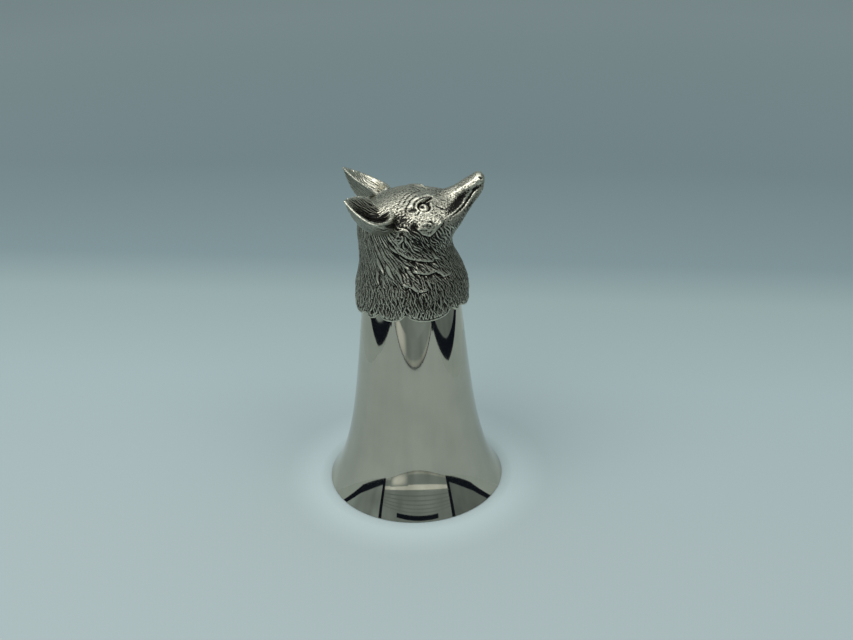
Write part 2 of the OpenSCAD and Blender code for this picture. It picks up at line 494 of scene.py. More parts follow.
def new_object(name: str, data: bpy.types.ID) -> bpy.types.Object:
    """Makes an object from a mesh, a camera or a light, and puts it in the scene.

    Args:
        name: Its name.
        data: The mesh, camera or light.

    Returns:
        The object.
    """
    made = bpy.data.objects.new(name, data)
    bpy.context.scene.collection.objects.link(made)
    return made


def solid_copy(node: Node) -> bmesh.types.BMesh:
    """A merged copy of a solid's mesh.

    Args:
        node: The solid.

    Returns:
        The copy.
    """
    bm = bmesh.new()
    bm.from_mesh(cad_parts[node.value].data)
    bmesh.ops.remove_doubles(bm, verts=bm.verts, dist=WELD)
    return bm


def settle_modifiers(piece: bpy.types.Object) -> None:
    """Gives a piece the mesh that its modifiers make, under the old mesh's name, and clears them.

    Args:
        piece: The piece.
    """
    bpy.context.view_layer.update()
    old = piece.data
    name = old.name
    shaped = piece.evaluated_get(bpy.context.evaluated_depsgraph_get())
    piece.data = bpy.data.meshes.new_from_object(shaped)
    piece.modifiers.clear()
    bpy.data.meshes.remove(old)
    piece.data.name = name


def netted(name: str, bm: bmesh.types.BMesh, voxel: float) -> bpy.types.Object:
    """Lays an even net of small quads over a closed shape.

    Args:
        name: The new piece's name.
        bm: The shape, which is freed.
        voxel: Side of a quad, in metres.

    Returns:
        The piece.
    """
    piece = new_piece(name, bm)
    remesh = piece.modifiers.new("net", "REMESH")
    remesh.mode = "VOXEL"
    remesh.voxel_size = voxel
    remesh.use_smooth_shade = True
    settle_modifiers(piece)
    return piece


def thin_out(piece: bpy.types.Object, most: int) -> None:
    """Lessens a piece's triangles where its surface is plain, if it has more than are allowed.

    Args:
        piece: The piece.
        most: Triangles that it may have.
    """
    triangles = sum(len(face.vertices) - 2 for face in piece.data.polygons)
    if triangles <= most:
        return
    thin = piece.modifiers.new("thin", "DECIMATE")
    thin.ratio = most / triangles
    settle_modifiers(piece)


def dress(piece: bpy.types.Object, finish: bpy.types.Material) -> None:
    """Gives a piece its one finish and reports it.

    Args:
        piece: The piece.
        finish: Its material.
    """
    piece.data.materials.clear()
    piece.data.materials.append(finish)
    log.info("%s: %d faces, %s", piece.name, len(piece.data.polygons), finish.name)


def take_over(piece: bpy.types.Object, node: Node, finish: bpy.types.Material) -> None:
    """Puts a finished piece in a solid's place.

    Args:
        piece: The piece.
        node: The solid that it stands for.
        finish: Its material.
    """
    dress(piece, finish)
    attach(piece, BODY)
    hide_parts(node.value)


class Shading:
    """A node tree with short ways to add nodes and links."""

    def __init__(self, tree: bpy.types.NodeTree) -> None:
        """Starts an empty tree.

        Args:
            tree: The tree to fill.
        """
        self.tree = tree
        tree.nodes.clear()

    def add(self, kind: str, **settings: object) -> bpy.types.Node:
        """Adds a node and sets its properties.

        Args:
            kind: The node's type.
            settings: Its properties.

        Returns:
            The node.
        """
        node = self.tree.nodes.new(kind)
        for name, value in settings.items():
            setattr(node, name, value)
        return node

    def plug(self, socket: bpy.types.NodeSocket, source: object) -> None:
        """Links another socket to a node's input, or sets the input's value.

        Args:
            socket: The input.
            source: A socket or a value.
        """
        if isinstance(source, bpy.types.NodeSocket):
            self.tree.links.new(source, socket)
        else:
            socket.default_value = source

    def feed(self, node: bpy.types.Node, **sources: object) -> bpy.types.Node:
        """Plugs a node's inputs by name; underscores stand for spaces.

        Args:
            node: The node.
            sources: A socket or a value for each input.

        Returns:
            The node.
        """
        for name, source in sources.items():
            self.plug(node.inputs[name.replace("_", " ")], source)
        return node

    def place(self, kind: str = "Object") -> bpy.types.NodeSocket:
        """The place on the piece, or another coordinate."""
        return self.add("ShaderNodeTexCoord").outputs[kind]

    def axes(self, vector: bpy.types.NodeSocket) -> bpy.types.NodeOutputs:
        """A vector's X, Y and Z."""
        return self.feed(self.add("ShaderNodeSeparateXYZ"), Vector=vector).outputs

    def noise(self, place: bpy.types.NodeSocket, scale: object, detail: float) -> bpy.types.NodeSocket:
        """Noise over the places."""
        node = self.add("ShaderNodeTexNoise")
        return self.feed(node, Vector=place, Scale=scale, Detail=detail).outputs["Fac"]

    def math(self, operation: str, first: object, second: object = 0.0) -> bpy.types.NodeSocket:
        """A sum, product or other operation on two values.

        Args:
            operation: Its name.
            first: A socket or a value.
            second: Likewise.

        Returns:
            The result.
        """
        node = self.add("ShaderNodeMath", operation=operation)
        self.plug(node.inputs[0], first)
        self.plug(node.inputs[1], second)
        return node.outputs[0]

    def scaled_add(self, value: object, more: object, share: float) -> bpy.types.NodeSocket:
        """A value with a share of another added to it."""
        return self.math("ADD", value, self.math("MULTIPLY", more, share))

    def ramp(self, value: bpy.types.NodeSocket, stops: Stops) -> bpy.types.NodeSocket:
        """Turns a value into a colour by stops along a ramp.

        Args:
            value: The value.
            stops: Places along the ramp, and their colours.

        Returns:
            The colour.
        """
        node = self.feed(self.add("ShaderNodeValToRGB"), Fac=value)
        elements = node.color_ramp.elements
        while len(elements) < len(stops):
            elements.new(1.0)
        for element, (place, colour) in zip(elements, stops):
            element.position = place
            element.color = (*colour, 1.0)
        return node.outputs["Color"]

    def mix(self, kind: str, share: object, first: object, second: object) -> bpy.types.NodeSocket:
        """Mixes two colours.

        Args:
            kind: How the second lies over the first.
            share: How much of the second shows.
            first: A colour or a socket.
            second: A colour or a socket.

        Returns:
            The mixed colour.
        """
        node = self.add("ShaderNodeMix", data_type="RGBA", blend_type=kind)
        for index, source in ((0, share), (6, first), (7, second)):
            self.plug(node.inputs[index], source)
        return node.outputs[2]

    def span(self, value: bpy.types.NodeSocket, low: float, high: float) -> bpy.types.NodeSocket:
        """Maps a value from 0..1 to low..high."""
        node = self.feed(self.add("ShaderNodeMapRange"), Value=value, To_Min=low, To_Max=high)
        return node.outputs["Result"]

    def bump(self, height: bpy.types.NodeSocket, strength: float, depth: float) -> bpy.types.NodeSocket:
        """A normal that follows a height."""
        node = self.feed(self.add("ShaderNodeBump"), Height=height, Strength=strength, Distance=depth)
        return node.outputs["Normal"]


def mottle_group() -> bpy.types.NodeTree:
    """Builds the group that every pewter finish uses: soft mottling and a fine grain over the surface.

    Returns:
        The group, with inputs Size and Grain Size, and outputs Mottle and Grain.
    """
    group = bpy.data.node_groups.new("pewter_mottle", "ShaderNodeTree")
    shade = Shading(group)
    for way, names in (("INPUT", ("Size", "Grain Size")), ("OUTPUT", ("Mottle", "Grain"))):
        for name in names:
            group.interface.new_socket(name, in_out=way, socket_type="NodeSocketFloat")
    given = shade.add("NodeGroupInput").outputs
    place = shade.place()
    soft = shade.noise(place, given["Size"], 4.0)
    fine = shade.noise(place, given["Grain Size"], 2.0)
    shade.feed(shade.add("NodeGroupOutput"), Mottle=soft, Grain=fine)
    return group


def new_material(name: str, shader: str) -> tuple[bpy.types.Material, Shading, bpy.types.Node]:
    """Starts a material.

    Args:
        name: The material's name.
        shader: The kind of its shader.

    Returns:
        The material, its node tree, and its shader.
    """
    material = bpy.data.materials.new(name)
    material.use_nodes = True
    shade = Shading(material.node_tree)
    node = shade.add(shader)
    shade.feed(shade.add("ShaderNodeOutputMaterial"), Surface=node.outputs[0])
    return material, shade, node


@dataclass(frozen=True)
class Finish(ABC):
    """A metal's finish over the shared mottling.

    Attributes:
        name: The material's name.
        mottle_size: Scale of the mottling.
        grain_size: Scale of the grain.
        roughness: Roughness from one end of what drives it to the other.
    """

    name: str
    mottle_size: float
    grain_size: float
    roughness: Pair

    def make(self, mottle: bpy.types.NodeTree) -> bpy.types.Material:
        """Builds the material.

        Args:
            mottle: The shared mottling.

        Returns:
            The material.
        """
        material, shade, shader = new_material(self.name, PRINCIPLED)
        marks = shade.add("ShaderNodeGroup", node_tree=mottle)
        shade.feed(marks, Size=self.mottle_size, Grain_Size=self.grain_size)
        shade.feed(shader, Metallic=1.0)
        self.paint(shade, shader, marks.outputs["Mottle"], marks.outputs["Grain"])
        return material

    @abstractmethod
    def paint(self, shade: Shading, shader: bpy.types.Node, mottle: object, grain: object) -> None:
        """Feeds the shader its colour, roughness and bumps.

        Args:
            shade: The material's node tree.
            shader: Its shader.
            mottle: The mottling's socket.
            grain: The grain's socket.
        """


@dataclass(frozen=True)
class PolishedPewter(Finish):
    """Spun pewter at a mirror polish, with the faint rings that the polishing mop leaves."""

    name: str = "polished_pewter"
    mottle_size: float = 60.0
    grain_size: float = 900.0
    roughness: Pair = (0.015, 0.06)
    tones: Stops = ((0.3, (0.49, 0.455, 0.38)), (0.7, (0.56, 0.515, 0.43)))
    reflection_streak_scale: Place = (120.0, 120.0, 6.0)
    ring_scale: Place = (3.0, 3.0, 900.0)
    ring_depth: float = 0.00001
    ring_strength: float = 0.08

    def paint(self, shade: Shading, shader: bpy.types.Node, mottle: object, grain: object) -> None:
        """Mottles the metal, whose polish hides the grain, and paints reflection into its tint as upright
        streaking; the arguments are Finish's.
        """
        # Painted reflection: upright streaking in the tint
        reflection_streaks = shade.math("SUBTRACT", self.stretched(shade, self.reflection_streak_scale), 0.5)
        tint = shade.ramp(shade.math("ADD", mottle, reflection_streaks), self.tones)
        rings = shade.bump(self.stretched(shade, self.ring_scale), self.ring_strength, self.ring_depth)
        shade.feed(shader, Base_Color=tint, Roughness=shade.span(mottle, *self.roughness), Normal=rings)

    def stretched(self, shade: Shading, scale: Place) -> bpy.types.NodeSocket:
        """Noise drawn out along the axes with the lowest scale.

        Args:
            shade: The material's node tree.
            scale: Scale of the noise along each axis.

        Returns:
            The noise's value.
        """
        place = shade.feed(shade.add("ShaderNodeMapping"), Vector=shade.place(), Scale=scale)
        return shade.noise(place.outputs["Vector"], 1.0, 3.0)


@dataclass(frozen=True)
class AntiquedPewter(Finish):
    """Cast pewter blackened in its recesses, rubbed bright on its ridges.

    Its roughness and metallic run from the blackened metal to the rubbed metal.
    """

    name: str = "antiqued_pewter"
    mottle_size: float = 130.0
    grain_size: float = 1900.0
    roughness: Pair = (0.5, 0.3)
    metallic: Pair = (0.35, 1.0)
    tones: Stops = (
        (0.0, (0.004, 0.004, 0.003)),
        (0.38, (0.014, 0.014, 0.011)),
        (0.52, (0.11, 0.106, 0.084)),
        (0.72, (0.39, 0.378, 0.305)),
        (1.0, (0.69, 0.665, 0.55)),
    )
    gloss: float = 0.2
    grain_share: float = 0.22
    strand_period: float = 0.5
    strand_share: float = 0.1
    strand_depth: float = 0.3
    pit_depth: float = 0.00009
    pit_strength: float = 0.4

    def paint(self, shade: Shading, shader: bpy.types.Node, mottle: object, grain: object) -> None:
        """Colours the metal by its wear and the painted shade and highlights stored with it, with fine
        strands along the fur; the arguments are Finish's.
        """
        wear_and_shade, strand = (
            shade.add("ShaderNodeAttribute", attribute_name=name).outputs["Fac"] for name in (RELIEF, STRAND)
        )
        for patch in (grain, mottle):
            wear_and_shade = shade.scaled_add(wear_and_shade, shade.math("SUBTRACT", patch, 0.5), self.grain_share)
        hair = shade.math("SINE", shade.math("MULTIPLY", strand, 2 * math.pi / self.strand_period))
        wear_and_shade = shade.scaled_add(wear_and_shade, hair, self.strand_share)
        lines = shade.scaled_add(grain, hair, self.strand_depth)
        shade.feed(
            shader,
            Base_Color=shade.ramp(wear_and_shade, self.tones),
            Roughness=shade.span(wear_and_shade, *self.roughness),
            Metallic=shade.span(wear_and_shade, *self.metallic),
            Normal=shade.bump(lines, self.pit_strength, self.pit_depth),
            Specular_IOR_Level=self.gloss,
        )


@dataclass(frozen=True)
class PlainSolder(Finish):
    """Soft solder, wiped while warm."""

    name: str = "plain_solder"
    mottle_size: float = 300.0
    grain_size: float = 1500.0
    roughness: Pair = (0.3, 0.45)
    tones: Stops = ((0.3, (0.40, 0.40, 0.40)), (0.7, (0.56, 0.56, 0.55)))

    def paint(self, shade: Shading, shader: bpy.types.Node, mottle: object, grain: object) -> None:
        """Mottles the solder; the arguments are Finish's."""
        rough = shade.span(grain, *self.roughness)
        shade.feed(shader, Base_Color=shade.ramp(mottle, self.tones), Roughness=rough)


@dataclass
class Beaker:
    """The spun beaker, in metres: a straight taper with a flare that dies away up the wall."""

    end_radius: float = 19.25 * MM
    flare_width: float = 9.4 * MM
    flare_height: float = 16 * MM
    wall: float = 1.3 * MM
    end_wall: float = 1.6 * MM
    end_fillet: float = 2.4 * MM
    lip_bevel: float = 0.25 * MM
    wall_steps: int = 72
    gather: float = 1.7
    corner_steps: int = 8
    turns: int = 288
    rim_radius: float = field(init=False)
    height: float = field(init=False)
    taper: float = field(init=False)

    def __post_init__(self) -> None:
        """Takes the rim and the height from the solid."""
        _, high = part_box(Node.BEAKER.value)
        self.rim_radius, self.height = min(high.x, high.y), high.z
        self.taper = (self.rim_radius - self.end_radius - self.flare_width) / (self.height - self.lip_bevel)

    def flare(self, z: float) -> float:
        """Radius that the flare adds at a height."""
        return self.flare_width * math.exp((self.lip_bevel - z) / self.flare_height)

    def radius(self, z: float) -> float:
        """Outside radius at a height."""
        return self.end_radius + self.taper * (self.height - z) + self.flare(z)

    def bore(self, z: float) -> float:
        """Inside radius at a height."""
        slope = self.taper + self.flare(z) / self.flare_height
        return self.radius(z) - self.wall * math.hypot(1, slope)

    def heights(self, top: float) -> list[float]:
        """Heights up a wall, closer together in the flare.

        Args:
            top: Where the wall ends.

        Returns:
            The heights, from the lip up.
        """
        span = top - self.lip_bevel
        shares = (i / self.wall_steps for i in range(self.wall_steps + 1))
        return [self.lip_bevel + span * share**self.gather for share in shares]

    def corner(self, radius: float, top: float, fillet: float) -> list[Pair]:
        """A quarter circle from a wall over to the closed end.

        Args:
            radius: Radius of the wall below the corner.
            top: Height of the closed end.
            fillet: Radius of the corner.

        Returns:
            Radii and heights.
        """
        angles = [0.5 * math.pi * i / self.corner_steps for i in range(1, self.corner_steps + 1)]
        return [(radius - fillet * (1 - math.cos(a)), top - fillet * (1 - math.sin(a))) for a in angles]

    def profile(self) -> list[Pair]:
        """The beaker's half section: up the outside, over the closed end and down the bore.

        Returns:
            Radii and heights.
        """
        side_top = self.height - self.end_fillet
        inner_top = self.height - self.end_wall
        inner_fillet = self.end_fillet - min(self.wall, self.end_wall) / 2
        bore_top = inner_top - inner_fillet
        outside = [(self.radius(z), z) for z in self.heights(side_top)]
        inside = [(self.bore(z), z) for z in self.heights(bore_top)]
        inside += self.corner(self.bore(bore_top), inner_top, inner_fillet)
        outside += self.corner(self.radius(side_top), self.height, self.end_fillet)
        foot = [(self.bore(0) + self.lip_bevel, 0.0), (self.rim_radius - self.lip_bevel, 0.0)]
        return foot + outside + [(0.0, self.height), (0.0, inner_top)] + inside[::-1]

    def build(self, finish: bpy.types.Material) -> None:
        """Spins the section into the beaker.

        Args:
            finish: Its material.
        """
        bm = bmesh.new()
        chain = [bm.verts.new((r, 0, z)) for r, z in self.profile()]
        ends = list(zip(chain, chain[1:] + chain[:1]))
        edges = [bm.edges.new(pair) for pair in ends if max(v.co.x for v in pair) > 0]
        around = {"axis": (0, 0, 1), "cent": (0, 0, 0), "angle": 2 * math.pi}
        bmesh.ops.spin(bm, geom=chain + edges, steps=self.turns, use_merge=True, **around)
        bmesh.ops.remove_doubles(bm, verts=bm.verts, dist=WELD)
        bmesh.ops.recalc_face_normals(bm, faces=bm.faces)
        for face in bm.faces:
            face.smooth = True
        take_over(new_piece("spun_beaker", bm), Node.BEAKER, finish)


@dataclass(frozen=True)
class Cut:
    """A line or a dot that the carver cut or left standing.

    Attributes:
        places: A line's corners, or a dot's one place.
        height: Its height, below 0 if it is cut in.
        width: Its half width.
        rub_and_shade: What it adds to the wear, below 0 if it is blackened; the eye's glint adds a painted
            highlight.
    """

    places: tuple[tuple[float, ...], ...]
    height: float
    width: float
    rub_and_shade: float

    def strength(self, points: Array, ends: float = 1.0) -> Array:
        """How strong the line or dot is.

        Args:
            points: Where.
            ends: A line's strength at its ends, beside its middle's.

        Returns:
            A share of its height for each point.
        """
        if len(self.places) == 1:
            return bell(far_from(points, self.places[0]), self.width)
        distance, share, _ = along_line(points, np.array(self.places))
        return bell(distance, self.width) * (ends + (1 - ends) * np.sin(math.pi * share))


@dataclass(frozen=True)
class Tier:
    """An edge of fur that hangs over the surface below it.

    Attributes:
        rise: Height at the edge.
        rise_reach: How far back from the edge the height runs out.
        cut: Depth under the edge.
        cut_reach: How far below the edge the depth runs out.
        ends: Share of the edge over which it dies away at either end.
        slope: Half the width of the step between the two.
    """

    rise: float
    rise_reach: float
    cut: float
    cut_reach: float
    ends: float
    slope: float = 0.35

    def heights(self, distance: Array, share: Array, above: Array) -> tuple[Array, Array, Array]:
        """Heights beside the edge.

        Args:
            distance: Each point's distance from the edge.
            share: Its share of the way along the edge.
            above: True if it lies on the tier.

        Returns:
            The heights, the strength of the edge beside each point, and how far each is on the tier.
        """
        strength = smooth_step(share, 0.0, self.ends) * smooth_step(-share, -1.0, self.ends - 1)
        over = smooth_step(np.where(above, distance, -distance), -self.slope, self.slope)
        high = over * self.rise * np.exp(-distance / self.rise_reach)
        low = (1 - over) * self.cut * np.exp(-distance / self.cut_reach)
        return strength * (high - low), strength, over


@dataclass(frozen=True)
class Region:
    """A part of the head, by its bounds.

    Attributes:
        line: Bounds above the line where the face's fur meets the neck's.
        x: Bounds along the muzzle.
        y: Bounds outwards.
        z: Bounds upwards.
        outer: True if it has only what stands out past the beaker.
    """

    line: Pair = EVERYWHERE
    x: Pair = EVERYWHERE
    y: Pair = EVERYWHERE
    z: Pair = EVERYWHERE
    outer: bool = False

    def holds(self, side: Array, line: Array, outer: Array) -> Array:
        """Whether each point lies in the region.

        Args:
            side: The points.
            line: How far each is above the face's line.
            outer: True if it stands out past the beaker.

        Returns:
            True for each point inside.
        """
        inside = outer.copy() if self.outer else np.ones(len(side), dtype=bool)
        for values, (low, high) in zip((line, *side.T), (self.line, self.x, self.y, self.z)):
            inside &= (values > low) & (values < high)
        return inside


@dataclass(frozen=True)
class Eye:
    """An eye: a ball in an almond-shaped socket, with lids, a tear line and a brow.

    Lines and dots lie in the eye's own plane: the first axis points to the tear's corner and the second up.

    Attributes:
        level: Radius of the surface that the plane is levelled on.
        reach: How far the eye shapes the face.
        gap: Width of the socket round the ball.
        corner: Half width of the socket's corner beside the socket's own, and its length.
        slope: Half the width of the socket's wall.
    """

    middle: Place = (5.3, 11.4, 33.5)
    tear: Place = (8.8, 6.6, 34.5)
    level: float = 2.5
    reach: float = 12.0
    ball: float = 2.05
    gap: float = 0.5
    corner: Pair = (0.62, 4.8)
    depth: float = 1.1
    slope: float = 0.4
    socket_reach: float = 5.0
    ball_depth: float = 1.0
    ball_rise: float = 1.25
    ball_rub: float = -0.14
    socket_rub: float = 0.4
    pupil: Cut = Cut(((-0.3, 0.55),), -0.25, 0.72, -0.9)
    # The glint is a painted highlight on the ball, over a small bump
    glint: Cut = Cut(((0.5, 1.2),), 0.15, 0.34, 0.6)
    lines: tuple[Cut, ...] = (
        # The upper and lower lid, the tear line, the crease over the lid, and the brow
        Cut(((-2.9, -1.2), (-3, 0.4), (-2.2, 2.1), (-0.4, 3), (1.8, 2.8), (4.4, 1.8)), 0.55, 0.42, 0.25),
        Cut(((-2.3, -2), (-1, -2.9), (0.9, -2.9), (2.8, -1.8), (4.4, 0.1)), 0.35, 0.4, 0.2),
        Cut(((2.3, 1.2), (4.6, 0.9), (6.8, 0.9)), -0.8, 0.55, -0.6),
        Cut(((-1.6, 3.7), (0.4, 4.1), (3.8, 3.0), (6.4, 1.9)), -0.15, 0.3, -0.14),
        Cut(((-2.6, 4.3), (0.2, 5.1), (4.2, 4.0), (7.4, 2.6)), 0.45, 0.8, 0.1),
    )

    def plane(self, skin: Skin) -> Array:
        """Each point's place in the eye's plane.

        Args:
            skin: The head's surface.

        Returns:
            Two numbers a row.
        """
        off = skin.side - np.array(self.middle)
        facing = unit(skin.facing[np.linalg.norm(off, axis=1) < self.level].mean(0))
        ahead = np.array(self.tear) - np.array(self.middle)
        ahead = unit(ahead - facing * (ahead @ facing))
        up = np.cross(facing, ahead)
        return np.stack([off @ ahead, off @ (up if up[2] > 0 else -up)], axis=1)

    def socket(self, flat: Array, radius: Array) -> Array:
        """Heights of the socket.

        Args:
            flat: Places in the eye's plane.
            radius: Their distance from the middle.

        Returns:
            The heights, 0 or below.
        """
        ahead, up = flat.T
        gap = self.ball + self.gap
        width, length = self.corner
        almond = gap * np.sqrt(np.maximum(1 - (ahead / gap) ** 2, 0))
        corner = width * gap * np.maximum(1 - np.maximum(ahead, 0) / length, 0) * (ahead > 0)
        inside = np.maximum(almond, corner) - np.abs(up)
        return -self.depth * smooth_step(inside, -self.slope, self.slope) * (radius < self.socket_reach)

    def rise(self, coat: Coat) -> Array:
        """Heights of the eye, whose wear, with the glint's painted highlight, is added to the coat's.

        Args:
            coat: The head's coat.

        Returns:
            The heights.
        """
        flat = self.plane(coat.skin)
        radius = np.hypot(*flat.T)
        on_ball = radius < self.ball
        rise = self.socket(flat, radius)
        ball = -self.ball_depth + self.ball_rise * np.sqrt(np.maximum(1 - (radius / self.ball) ** 2, 0))
        rise = np.where(on_ball, np.maximum(rise, ball), rise)
        rub_and_shade = np.where(on_ball, self.ball_rub, self.socket_rub * rise)
        for cuts, where in (((self.glint, self.pupil), 1), (self.lines, ~on_ball)):
            for cut in cuts:
                strength = cut.strength(flat) * where
                rise += cut.height * strength
                rub_and_shade += cut.rub_and_shade * strength
        on_face = far_from(coat.skin.side, self.middle) < self.reach
        coat.rub_and_shade += np.where(on_face, rub_and_shade, 0.0)
        return np.where(on_face, rise, 0.0)


@dataclass
class FoxHead:
    """The cast head: its solid's outside as a fine net, sculpted with a face and a coat of fur.

    Lines and places are in millimetres about the seat, for both sides alike, with +Y outwards.

    Attributes:
        ray_span: Height of the part of a unit ball, from its top, that the rays to look along fill.
        face_line: The line between face and neck: places along the muzzle and heights.
        sweep: How far forwards the neck's fur sweeps, by height.
        whorl_reach: Radii of the cheek's whorl and the neck's.
        folds: Edges where one tier of the neck's fur hangs over the next.
        fold_bright: Rub on a fold, and its radius.
        fold_shadow: Painted shadow under a fold, and its radius and distance.
        painted_shade_and_highlights: Places of painted shade, and of painted highlights where the amount is
            above 0, with their radii and amounts.
    """

    beaker: Beaker
    voxel: float = 0.29 * MM
    triangles: int = 190_000
    socket_gap: float = 0.2 * MM
    mid_wall: float = 1.1 * MM
    socket_depth: float = 2.0 * MM
    seat_margin: float = 0.5 * MM
    rays: int = 40
    ray_span: float = 1.15
    ray_start: float = 0.02 * MM
    grazing: float = 0.05
    evening: int = 8
    swellings: int = 110
    swell_seed: int = 5
    swell_line: float = -2.0
    swell_radius: Pair = (2.0, 4.0)
    swell_height: Pair = (-0.55, 0.45)
    swell_fade: Pair = (0.5, 4.0)
    stipple_seed: int = 8
    stipple: float = 0.12
    stipple_blur: int = 2
    stipple_fade: Pair = (2.0, 4.0)
    line_blend: Pair = (-1.0, 1.0)
    flow_blend: Pair = (-0.5, 1.5)
    face_line: tuple[Pair, ...] = (
        (-20, 31), (-10, 29), (-3, 27.5), (1, 27.5), (4, 24.6),
        (7, 23.6), (10, 26), (14, 27.5), (20, 26.5), (30, 33),
    )
    sweep: tuple[Pair, ...] = ((-12, 0), (-4, 0.05), (4, 0.35), (12, 0.8), (20, 1.0), (30, 1.0))
    cheek_whorl: Place = (5.9, 17.2, 28.8)
    neck_whorl: Place = (-4.2, 18.3, 24.4)
    whorl_reach: Pair = (4.2, 3.2)
    whorl_spread: float = 0.35
    eye: Eye = Eye()
    line_ends: float = 0.45
    face: tuple[Cut, ...] = (
        # The nose's pad and nostril
        Cut((NOSE,), 0.3, 1.6, 0.0),
        Cut(((27.7, 2.9, 41.2), (28.4, 2.9, 40.8), (28.9, 2.5, 40.6)), -0.8, 0.38, -0.6),
        # Lines over the brow, and its brighter top
        Cut(((-2.2, 13.2, 32.5), (-1.2, 11, 34), (0.6, 8.2, 35.3), (2.7, 5.5, 36)), -0.25, 0.45, -0.34),
        Cut(((-3.1, 10.6, 34), (-0.9, 6.9, 35.7), (1.7, 3.5, 36.3), (4.7, 0.3, 36)), -0.2, 0.4, -0.26),
        Cut(((-5.1, 11.3, 33.1), (-3.7, 7.9, 35), (-1.1, 4.2, 36.3), (2.4, 0.8, 36.3)), -0.15, 0.4, -0.22),
        Cut(((-5, 8, 34.6), (0, 7, 35.6), (7, 4, 35.6)), 0.0, 4.5, 0.14),
        # Lines behind and below the eye
        Cut(((-1.4, 13, 32.8), (0.6, 12.8, 33), (2.3, 12.6, 33.1)), -0.3, 1.0, -0.3),
        Cut(((10, 10.4, 33.2), (11.9, 11.2, 32.4), (13.8, 10.8, 31.9)), -0.2, 0.5, -0.28),
        # The cheek's curl, and the dark behind it
        Cut(
            ((5.2, 16.8, 29.5), (6.7, 16.5, 29.7), (8.2, 16.8, 28.5), (7.8, 17.3, 27.5), (5.9, 17.5, 28.1)),
            -0.25, 0.5, -0.26,
        ),
        Cut(((0.5, 17.2, 28.2), (1.6, 17.6, 27.5), (2.7, 17.8, 26.7)), -0.35, 1.0, -0.36),
        # Hollows along the muzzle, blackened, and darkened further as painted shade on the muzzle's side
        Cut(
            ((15, 10.4, 31.7), (16.8, 8, 32.4), (19.5, 5.3, 33.6), (21.9, 4.8, 35.8), (23.9, 4.7, 37.3)),
            -0.5, 1.2, -0.36,
        ),
        Cut(((14.5, 12.1, 30.8), (17.5, 8.9, 31.4), (19.8, 5.8, 32.6), (21.5, 5, 34.2)), -0.35, 1.0, -0.3),
        # The upper lip, the mouth and its front corner
        Cut(
            ((14.6, 13.2, 29.6), (17.7, 10.2, 30.5), (20, 7.1, 31.5), (21.9, 4.8, 33.5), (24.3, 4.3, 36.3)),
            0.5, 0.4, 0.42,
        ),
        Cut(
            ((16, 12.2, 29.7), (18.1, 10.2, 30.2), (20.8, 7.2, 31.2), (22.6, 5.4, 32.7), (25.5, 4.1, 36.2)),
            -0.5, 0.45, -0.46,
        ),
        Cut(((25.4, 4.2, 36.6), (26.3, 3.8, 37.4)), -0.3, 0.8, -0.5),
        # Darker along the jaw and under the chin
        Cut(
            ((16.3, 12.2, 24), (20.6, 9, 28.4), (22.9, 6.2, 30.1), (25, 4.6, 32.2), (27.9, 3.6, 37.1)),
            0.0, 1.7, -0.3,
        ),
        Cut(((14, 0, 22), (20, 0, 27), (25, 0, 32)), 0.0, 4.0, -0.25),
        # The bridge's edge and its flat top
        Cut(((12.2, 5.0, 34.6), (18.3, 3.8, 36.9), (24.3, 3.1, 39.9)), 0.25, 0.8, 0.06),
        Cut(
            ((12.2, 3, 34.8), (16.3, 2.3, 36), (20.2, 2.3, 37.9), (24.1, 2.4, 40.2), (26.9, 2.4, 41.7)),
            -0.12, 2.0, 0.0,
        ),
    )
    cheek_edge: tuple[Place, ...] = (
        (0.9, 17.2, 28.3), (4.2, 17.9, 24.6), (6.9, 17.3, 23.6), (9.7, 16.8, 26.3), (13, 14.6, 28.6),
    )
    cheek_tier: Tier = Tier(rise=0.9, rise_reach=2.4, cut=0.7, cut_reach=0.9, ends=0.12)
    folds: tuple[tuple[Place, ...], ...] = (
        (
            (-10.2, 14.5, 25.2), (-7.5, 16.8, 21.5), (-5.6, 18, 18.1), (-1.8, 18.6, 15.2), (2.8, 18.2, 13.9),
            (7.6, 16.7, 12.5), (9.7, 14.9, 13.7),
        ),
        (
            (-0.9, 19.7, 10.1), (1.4, 19.8, 9.2), (5.7, 19.2, 8.2), (9, 17.5, 8.6), (12.6, 16.5, 5.7),
            (15.6, 13.4, 5.8),
        ),
        ((-5.4, 20.4, 5.1), (-1.6, 21.3, 4), (2.2, 21.7, 1.9), (6.2, 20.8, 2.5)),
    )
    fold_tier: Tier = Tier(rise=0.7, rise_reach=2.6, cut=0.75, cut_reach=1.1, ends=0.15)
    fold_bright: Pair = (0.22, 0.8)
    fold_shadow: Place = (0.3, 0.9, 0.9)
    bare_muzzle: float = 16.0
    bare_eye: float = 5.2
    outer_margin: float = 0.4
    fur: tuple[tuple[FurPatch, Region], ...] = (
        # The forehead, the cheek, the neck, the ruff and the nape
        (FurPatch(2.0, 3.4, 0.5, 0.1, 14, 2.0, 11), Region(line=(1, INF), x=(-INF, 3), z=(27, INF))),
        (FurPatch(1.8, 3.0, 0.55, 0.16, 25, 2.0, 12), Region(line=(-1, INF), x=(-4, INF), y=(8, INF))),
        (FurPatch(0.9, 6.0, 0.5, 0.56, 24, 1.8, 13), Region(line=(-INF, 0), x=(-7, INF), z=(8, INF))),
        (FurPatch(0.85, 5.4, 0.46, 0.48, 36, 1.8, 14), Region(z=(-INF, 10), outer=True)),
        (FurPatch(0.85, 11.0, 0.42, 0.34, 8, 2.2, 15), Region(line=(-INF, 3), x=(-INF, -4), z=(9, INF))),
    )
    tufts: FurPatch = FurPatch(0.1, 6.0, 1.2, 1.0, 20, 1.6, 16)
    loose_tips: tuple[Place, ...] = ((-11.6, 16.5, 9.3), (-13.8, 16, 4.4), (-8.3, 18.8, 7.5))
    coat_fade: Pair = (0.7, 2.0)
    coat_sink: float = 0.75
    sink_blur: int = 40
    neck_contrast: float = 0.6
